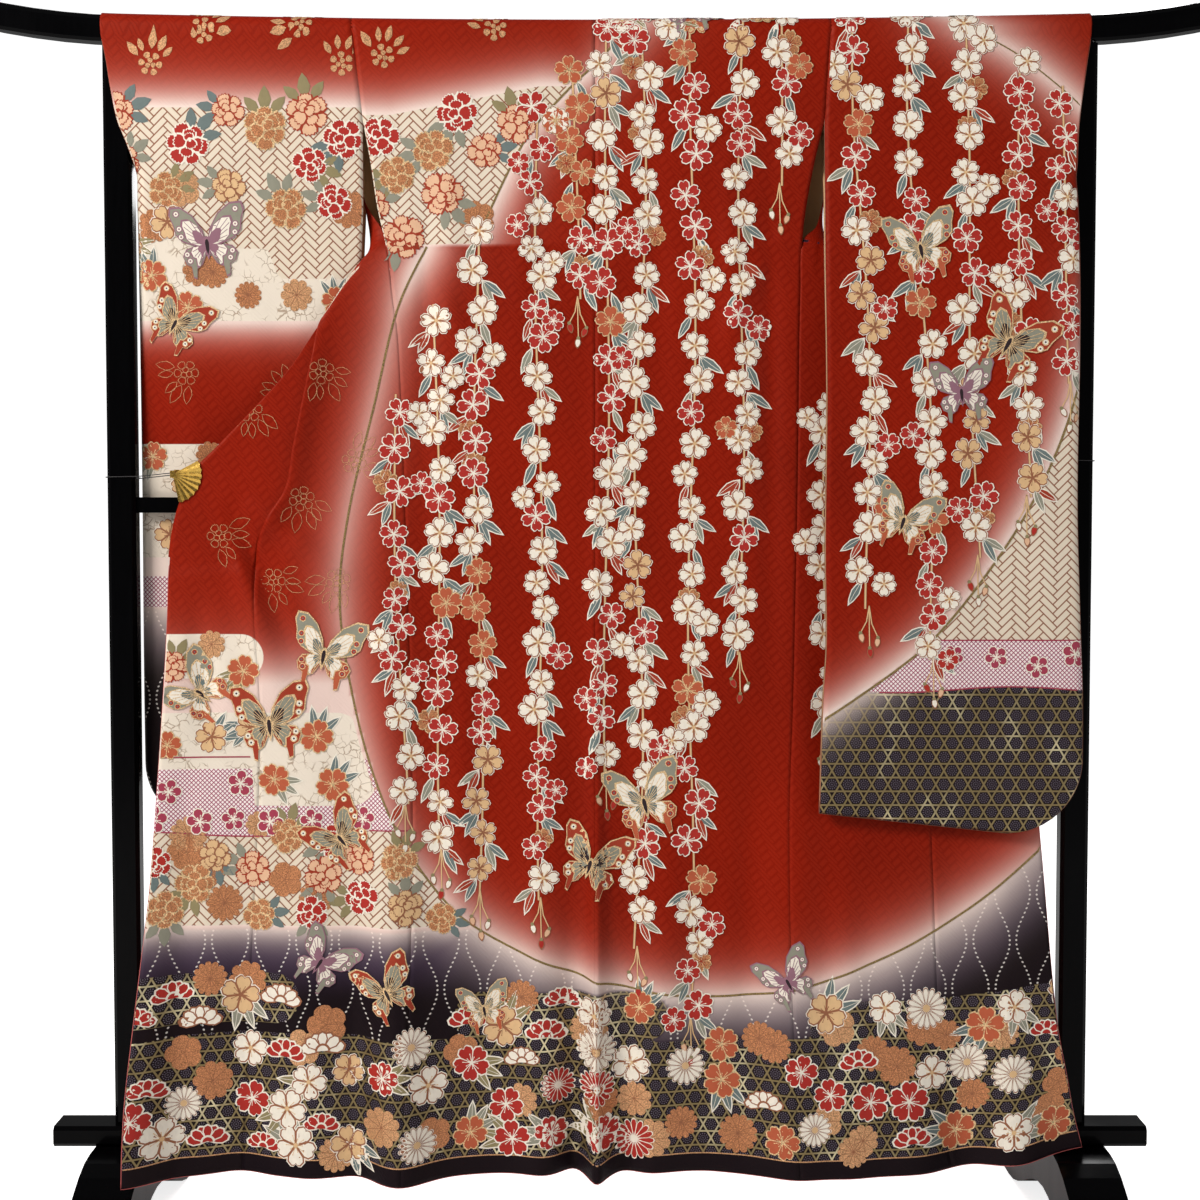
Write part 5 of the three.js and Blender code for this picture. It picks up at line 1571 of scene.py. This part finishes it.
def body_place(x, z, lift):
    if z > RAIL_LINE:
        turn = min(z - RAIL_LINE, TURN_LENGTH) / WRAP
        return over_rail(x, z - RAIL_LINE) + lift * Vector((0, -math.cos(turn), math.sin(turn)))
    point = on_curtain(x, z)
    half = LEFT if x < 0 else RIGHT
    side = half["side"]
    if z < FRONT_TOP and side * x > side * half["side_x"](z):
        seam_x = half["seam_x"](z)
        if side * x > side * seam_x:
            point.y += LAP_DEPTH * lapped(half, z)
        else:
            point.y -= overhang_at(half, x - seam_x, z)
    point.y -= lift
    return point


def body_limits(z):
    edges = []
    for _, half in HALVES:
        _, _, _, edge_x, edge_z = half["front"][-1]
        if z > FRONT_TOP:
            edges.append(back_edge(half, min(z, RAIL_LINE + WRAP)))
        elif z > edge_z:
            edges.append(lerp(edge_x, half["side_x"](FRONT_TOP), (z - edge_z) / (FRONT_TOP - edge_z)))
        else:
            edges.append(half["edge_x"](z))
    return edges[0] + PAINT_EDGE, edges[1] - PAINT_EDGE, HEM_LEVEL + PAINT_EDGE


def ruled(left, right, level):
    """A line straight across the cloth at a level, or at a level worked out from x."""
    return [(x, level(x) if callable(level) else level) for x in range(left, right, 12)]


rng = random.Random(11)
body = Drawing()
for border, width, colour in (
    (SHOULDER_LINE, 2.8, DARK_GILT), (FIELD_LINE, 2.8, DARK_GILT), (ruled(-640, 660, HEM_BORDER), 1.6, GILT),
    (ruled(-640, -470, DOTS_TOP), 1.8, ROSE),
    (ruled(-640, -254, lambda x: DOTS_LOW + dyed_ripple(x)), 1.8, ROSE),
):
    body.line(border, width, colour, 0)

# x and level of the top, x and level of the lowest bud
for hanging in (
    (-276, 1150, -262, 548), (-222, 1270, -214, 484), (-166, 1384, -162, 428), (-84, 1540, -80, 418),
    (-34, 1590, -30, 1225), (10, 1650, 8, 590), (56, 1674, 50, 352), (124, 1674, 122, 258),
    (190, 1674, 188, 748), (244, 1674, 240, 1376), (304, 1150, 306, 640),
):
    branch(body, rng, *hanging)
for x, z in ((30, 1652), (66, 1674), (150, 1672), (218, 1664), (92, 1640)):
    leaf(body, x + 14, z + 6, 30, rng.uniform(0, 6.28), rng.choice((OLIVE, LEAF_GREY)), 6)
    blossom(body, x, z, 20, rng.uniform(0, 1.2), rng.choice(("gilt", "white", "crimson", "tan")), 8)

ON_PLAIT = [("peony", look) for look in ("crimson", "rust", "tan", "crimson", "gilt")]
ON_PLAIT += [("shadow", ""), ("peony", "rust")]
ON_WAX = [("cherry", "orange"), ("cherry", "orange"), ("cherry", "tan"), ("shadow", ""), ("peony", "rust")]
ON_DOTS = [("plum", "dyed")]
ON_HEM = [("kiku", "white"), ("kiku", "white"), ("kiku", "crimson"), ("pine", "crimson"), ("pine", "crimson"),
          ("pine", "white"), ("cherry", "crimson"), ("cherry", "crimson"), ("cherry", "white"), ("cherry", "tan"),
          ("cherry", "white"), ("shadow", ""), ("shadow", ""), ("cherry", "orange")]


def plant(draw, rng, grounds, beds):
    """Flower beds: left, right, low, high, spacing, tries, ground, distance from its edge, kinds, size."""
    for *box, spacing, tries, ground, margin, kinds, size in beds:
        garden(draw, rng, scatter(rng, box, spacing, tries, grounds, ground, margin), kinds, size)


plant(body, rng, body_grounds, (
    (-330, -90, 1350, 1570, 54, 400, "plait", 10, ON_PLAIT, 27),
    (-600, -150, PLAIT_LOW, PLAIT_TOP, 44, 700, "plait", 6, ON_PLAIT, 25),
    (-600, -300, 590, 830, 52, 500, "wax", 8, ON_WAX, 20),
    (-610, -290, DOTS_LOW, DOTS_TOP, 42, 300, "dots", 14, ON_DOTS, 17),
    (-620, 640, 146, 372, 46, 5000, "lattice", 6, ON_HEM, 24),
))
for x, z in ((-470, 1130), (-400, 1010), (-512, 960), (-372, 1180), (-330, 1060), (-440, 900), (-352, 900),
             (-290, 1600), (-140, 1636)):
    gold_spray(body, rng, x, z, 22, z > 1400)
# x, level, wing length, turn, colouring
for flying in (
    (60, 600, 56, 0.25, "grey"), (-14, 518, 52, -0.3, "red"), (252, 362, 42, 0.5, "plum"),
    (-372, 800, 54, -0.2, "grey"), (-540, 748, 50, 0.9, "grey"), (-446, 706, 58, 0.1, "red"),
    (-350, 552, 48, 0.7, "red"), (-376, 388, 44, -0.6, "plum"), (-284, 352, 46, 0.5, "red"),
    (-156, 322, 38, 0.2, "grey"), (118, 1668, 44, 0.1, "plum"),
):
    butterfly(body, *flying, layer=12)
body_art = body.lay("painting_body", body_place, body_limits, "back_left")
trimmings["back_cloth_left"] = [body_art]

# ---- Motifs on the sleeves ----------------------------------------------------------------
# The right sleeve carries on the branches and butterflies, and the left one the flowers of the
# shoulder. The half of each sleeve that hangs at the far side has the same motifs.


def sleeve_place(spec, near):
    layer = sleeve_layer(spec, near)
    out = read_layer(spec["near" if near else "far"])[0]
    side, bottom = spec["half"]["side"], spec["bottom"]

    def place(x, z, lift):
        if z > RAIL_LINE:
            past = z - RAIL_LINE
            turn = past / WRAP if near else math.pi - past / WRAP
            return over_rail(x, turn * WRAP) + lift * Vector((0, -math.cos(turn), math.sin(turn)))
        level = z
        for _ in range(3):
            inner = inner_x(spec, level)
            edge = out(level) - side * corner_in(spec, max(level - bottom, 1.5))
            t = clamp((x - inner) / (edge - inner), 0.006, 0.994)
            level = max(z - sheared(spec, t, level), bottom + 1.5)
        point, _ = layer(t, level - bottom)
        point.y += -lift if near else lift
        return point

    return place


def sleeve_limits(spec):
    out = read_layer(spec["near"])[0]

    def limits(z):
        inner, outer = inner_x(spec, min(z, RAIL_LINE + WRAP)), out(z)
        return min(inner, outer) + PAINT_EDGE, max(inner, outer) - PAINT_EDGE, spec["bottom"]

    return limits


def left_sleeve_art(draw, rng):
    plant(draw, rng, left_sleeve_grounds, (
        (-650, -325, 1390, 1545, 54, 600, "plait", 4, ON_PLAIT, 27),
        (-640, -325, 1255, 1400, 52, 600, "wax", 8, ON_WAX, 21),
        (-620, -325, 932, 1084, 50, 300, "wax", 10, ON_WAX, 20),
    ))
    for x, z in ((-600, 1590), (-530, 1632), (-400, 1640), (-345, 1590), (-560, 1180), (-420, 1150)):
        gold_spray(draw, rng, x, z, 22, z > 1400)
    for flying in ((-528, 1352, 54, 0.1, "plum"), (-574, 1246, 46, -0.5, "red")):
        butterfly(draw, *flying, layer=12)


def right_sleeve_art(draw, rng):
    for border, width, colour in (
        (RIGHT_SLEEVE_LINE, 3.0, DARK_GILT), (RIGHT_SLEEVE_TOP_LINE, 1.8, DARK_GILT),
        (ruled(440, 648, SLEEVE_DOTS_TOP), 1.8, ROSE), (ruled(372, 648, sleeve_dots_low), 1.8, ROSE),
    ):
        draw.line(border, width, colour, 0)
    for hanging in (
        (340, 1672, 358, 812), (410, 1672, 444, 744), (482, 1660, 502, 880), (556, 1600, 566, 960),
        (614, 1560, 622, 1110),
    ):
        branch(draw, rng, *hanging)
    plant(draw, rng, right_sleeve_grounds, ((470, 640, 770, 810, 48, 300, "dots", 13, ON_DOTS, 16),))
    for flying in ((424, 1340, 52, 0.2, "grey"), (540, 1216, 56, -0.5, "red"), (478, 1150, 46, 0.1, "plum"),
                   (402, 980, 48, -0.3, "grey")):
        butterfly(draw, *flying, layer=12)


for (name, spec), art in zip(SLEEVES, (left_sleeve_art, right_sleeve_art)):
    trimmings["sleeve_cloth_" + name] = []
    for near in (True, False):
        drawing = Drawing()
        art(drawing, random.Random(5 if near else 6))
        piece = drawing.lay("painting_sleeve_" + name + ("" if near else "_far"), sleeve_place(spec, near),
                            sleeve_limits(spec), "sleeve_" + name)
        trimmings["sleeve_cloth_" + name].append(piece)

# ---- Edges --------------------------------------------------------------------------------
# The lining is rolled over the free edges as a thin piping: rose round the hem and the fronts,
# and brown round the mouths and bottoms of the sleeves.


PIPING, PIPING_STEP = 0.65, 8
FRONT_PIPING_TOP, CUFF_TOP = 925, 1625


def cord_along(name, points, radius, material, node, around_it=3):
    """A round cord on a path of places in millimetres, made a mesh."""
    curve = bpy.data.curves.new(name, "CURVE")
    curve.dimensions = "3D"
    curve.bevel_depth, curve.bevel_resolution, curve.use_fill_caps = radius * MM, around_it, True
    path = curve.splines.new("POLY")
    path.points.add(len(points) - 1)
    for point, place in zip(path.points, points):
        point.co = (*(Vector(place) * MM), 1)
    drawn = bpy.data.objects.new(name + " path", curve)
    bpy.context.collection.objects.link(drawn)
    mesh = bpy.data.meshes.new_from_object(drawn.evaluated_get(bpy.context.evaluated_depsgraph_get()))
    bpy.data.objects.remove(drawn)
    mesh.materials.clear()
    mesh.materials.append(material)
    for polygon in mesh.polygons:
        polygon.use_smooth = True
    piece = bpy.data.objects.new(name, mesh)
    bpy.context.collection.objects.link(piece)
    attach(piece, "root")
    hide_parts(node)
    return piece


def piping_silk(name, colour):
    material, tree, shader = new_material(name, Roughness=0.55)
    threads = noise_at(stretched(on_object(tree), (900, 900, 900)), 1.0)
    darker = tuple(0.7 * c for c in colour[:3]) + (1,)
    join(shader.inputs["Base Color"], mix(threads, darker, colour))
    bump(shader, threads, 0.0002, 0.5)
    return material


brown_piping = piping_silk("brown piping", colour_of(128, 70, 46))
rose_piping = piping_silk("rose piping", colour_of(198, 92, 88))

HEM_STEPS, HEM_DROP = 260, 0.4
hem_points = []
for k in range(HEM_STEPS + 1):
    x = lerp(LEFT["edge_x"](HEM_LEVEL), RIGHT["edge_x"](HEM_LEVEL), k / HEM_STEPS)
    hem_points.append(body_place(x, HEM_LEVEL, -SILK / 2) - Vector((0, 0, HEM_DROP)))
up_left, up_right = (
    [body_place(half["edge_x"](level), level, -SILK / 2)
     for level in range(HEM_LEVEL, FRONT_PIPING_TOP, PIPING_STEP)]
    for _, half in HALVES
)
hem_points = up_left[:0:-1] + hem_points + up_right[1:]
hem_piping = cord_along("piping_hem", hem_points, PIPING, rose_piping, "back_right")
trimmings["back_cloth_right"] = [hem_piping]

for name, spec in SLEEVES:
    bottom = spec["bottom"]
    for near in (True, False):
        layer = sleeve_layer(spec, near)
        inward = Vector((0, SILK / 2 if near else -SILK / 2, 0))
        mouth = [(0.0, rise) for rise in range(spec["half"]["armhole"][3] - bottom, 0, -PIPING_STEP)]
        cuff_start = 4 if near else spec["closed_below"] - bottom
        cuff = [(1.0, rise) for rise in range(cuff_start, CUFF_TOP - bottom, PIPING_STEP)]
        if near:  # one piping runs down the mouth, across the bottom and up the outer edge
            runs = {"mouth": mouth + [(k / 40, 0.0) for k in range(41)] + cuff}
        else:
            runs = {"mouth": mouth, "cuff": cuff}
        for part, run in runs.items():
            points = [layer(t, rise)[0] + inward for t, rise in run]
            piece = cord_along("piping_" + part + "_" + name + ("" if near else "_far"), points, PIPING,
                               brown_piping, "sleeve_" + name)
            trimmings["sleeve_cloth_" + name].append(piece)

# ---- Clips and ties -----------------------------------------------------------------------
# Each front is drawn aside by a small fan of pressed brass, sprung over the gathered cloth and
# tied to its post with a thin black cord.

POST = {"x": 647, "width": 38, "depth": 32, "chamfer": 5}
FAN = {"radius": 40, "ribs": 8, "plate": 2, "jaw": (30, 12), "knuckle": 7}
TIE = {"radius": 0.6, "clear": 0.8}
# place across, level, the fan's first and last angle, the level at which the cord rounds the post
CLIPS = {"left": (LEFT, -574, 1043, 28, -78, 1039), "right": (RIGHT, 566, 1056, 152, 258, 1061)}

brass, tree, shader = new_material("pressed brass", Metallic=1.0, Roughness=0.28)
worn = noise_at(stretched(on_object(tree), (260, 260, 260)), 1.0, 3.0)
join(shader.inputs["Base Color"], mix(worn, colour_of(196, 142, 52), colour_of(240, 204, 110)))
join(shader.inputs["Roughness"], calc("MULTIPLY_ADD", worn, 0.22, 0.16))
bump(shader, worn, 0.0002, 0.4)

twine, tree, shader = new_material("black silk twine", Roughness=0.6)
strands = noise_at(stretched(on_object(tree), (1500, 1500, 1500)), 1.0)
join(shader.inputs["Base Color"], mix(strands, (0.004, 0.004, 0.005, 1), (0.03, 0.026, 0.026, 1)))
bump(shader, strands, 0.0003, 0.7)


def box(bm, middle, sizes):
    made = bmesh.ops.create_cube(bm, size=1)["verts"]
    bmesh.ops.scale(bm, vec=Vector(sizes) * MM, verts=made)
    bmesh.ops.translate(bm, vec=Vector(middle) * MM, verts=made)


for name, (half, clip_x, clip_z, first, final, tie_z) in CLIPS.items():
    side = half["side"]
    depths = [curtain_depth(clip_x - side * FAN["radius"] * t, clip_z + k * FAN["radius"] * 0.7)
              for t in (0.3, 0.6, 0.9) for k in (-1, 0, 1)]
    front = min(depths) + LAP_DEPTH - SEAM
    back = max(depths) + LAP_DEPTH + CLOTH + COLLAR_BEHIND + COLLAR_CLOTH + SEAM

    leaf_bm = bmesh.new()
    bmesh.ops.create_grid(leaf_bm, x_segments=FAN["ribs"] * 4, y_segments=8, size=1)
    for vert in leaf_bm.verts:
        k, out = (vert.co.x + 1) * FAN["ribs"] * 2, (vert.co.y + 1) / 2
        angle = math.radians(lerp(first, final, k / (FAN["ribs"] * 4)))
        ridge = math.cos(k * math.pi / 2)
        radius = 4 + out * (FAN["radius"] - 4.4 - (0.8 + 0.8 * ridge))
        vert.co = Vector((clip_x + radius * math.cos(angle), front - FAN["plate"] / 2 - 0.55 * out * ridge,
                          clip_z + radius * math.sin(angle))) * MM
    bmesh.ops.recalc_face_normals(leaf_bm, faces=leaf_bm.faces[:])
    fan = place_mesh("fan_" + name, leaf_bm, brass)
    plate = fan.modifiers.new("plate", "SOLIDIFY")
    plate.thickness, plate.offset = 0.8 * MM, 0

    spring_bm = bmesh.new()
    depth = back - front + FAN["plate"] * 2
    box(spring_bm, (clip_x, front - FAN["plate"] + depth / 2, clip_z),
        (FAN["knuckle"], depth, FAN["knuckle"] * 1.4))
    jaw_length, jaw_width = FAN["jaw"]
    box(spring_bm, (clip_x - side * jaw_length / 2, back + FAN["plate"] / 2, clip_z),
        (jaw_length, FAN["plate"], jaw_width))
    spring = place_mesh("clip_spring_" + name, spring_bm, brass)
    soft_edge = spring.modifiers.new("edge", "BEVEL")
    soft_edge.width, soft_edge.segments = 0.6 * MM, 3
    for piece in (fan, spring):
        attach(piece, "root")
        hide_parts("clip_" + name)

    middle, off = (front + back) / 2, TIE["radius"] + TIE["clear"]
    in_x, out_x = POST["x"] - POST["width"] / 2 - off, POST["x"] + POST["width"] / 2 + off
    y, curve_in = POST["depth"] / 2 + off, POST["chamfer"]
    start = abs(clip_x) + FAN["knuckle"] / 2 + 1
    route = [
        (start, middle, clip_z + 1.4), (in_x - 8, -y - 5, tie_z + 1.5), (in_x + curve_in, -y - 0.4, tie_z + 1),
        (out_x - curve_in, -y, tie_z + 0.5), (out_x, curve_in - y, tie_z), (out_x, y - curve_in, tie_z),
        (out_x - curve_in, y, tie_z), (in_x + curve_in, y, tie_z - 0.5), (in_x, y - curve_in, tie_z - 1),
        (in_x, curve_in - y, tie_z - 1.5), (in_x - 9, -y - 3, tie_z - 1.5), (start, middle, clip_z - 1.4),
    ]
    cord_along("cord_tie_" + name, curve_through([(side * a, b, c) for a, b, c in route]), TIE["radius"],
               twine, "tie_" + name)
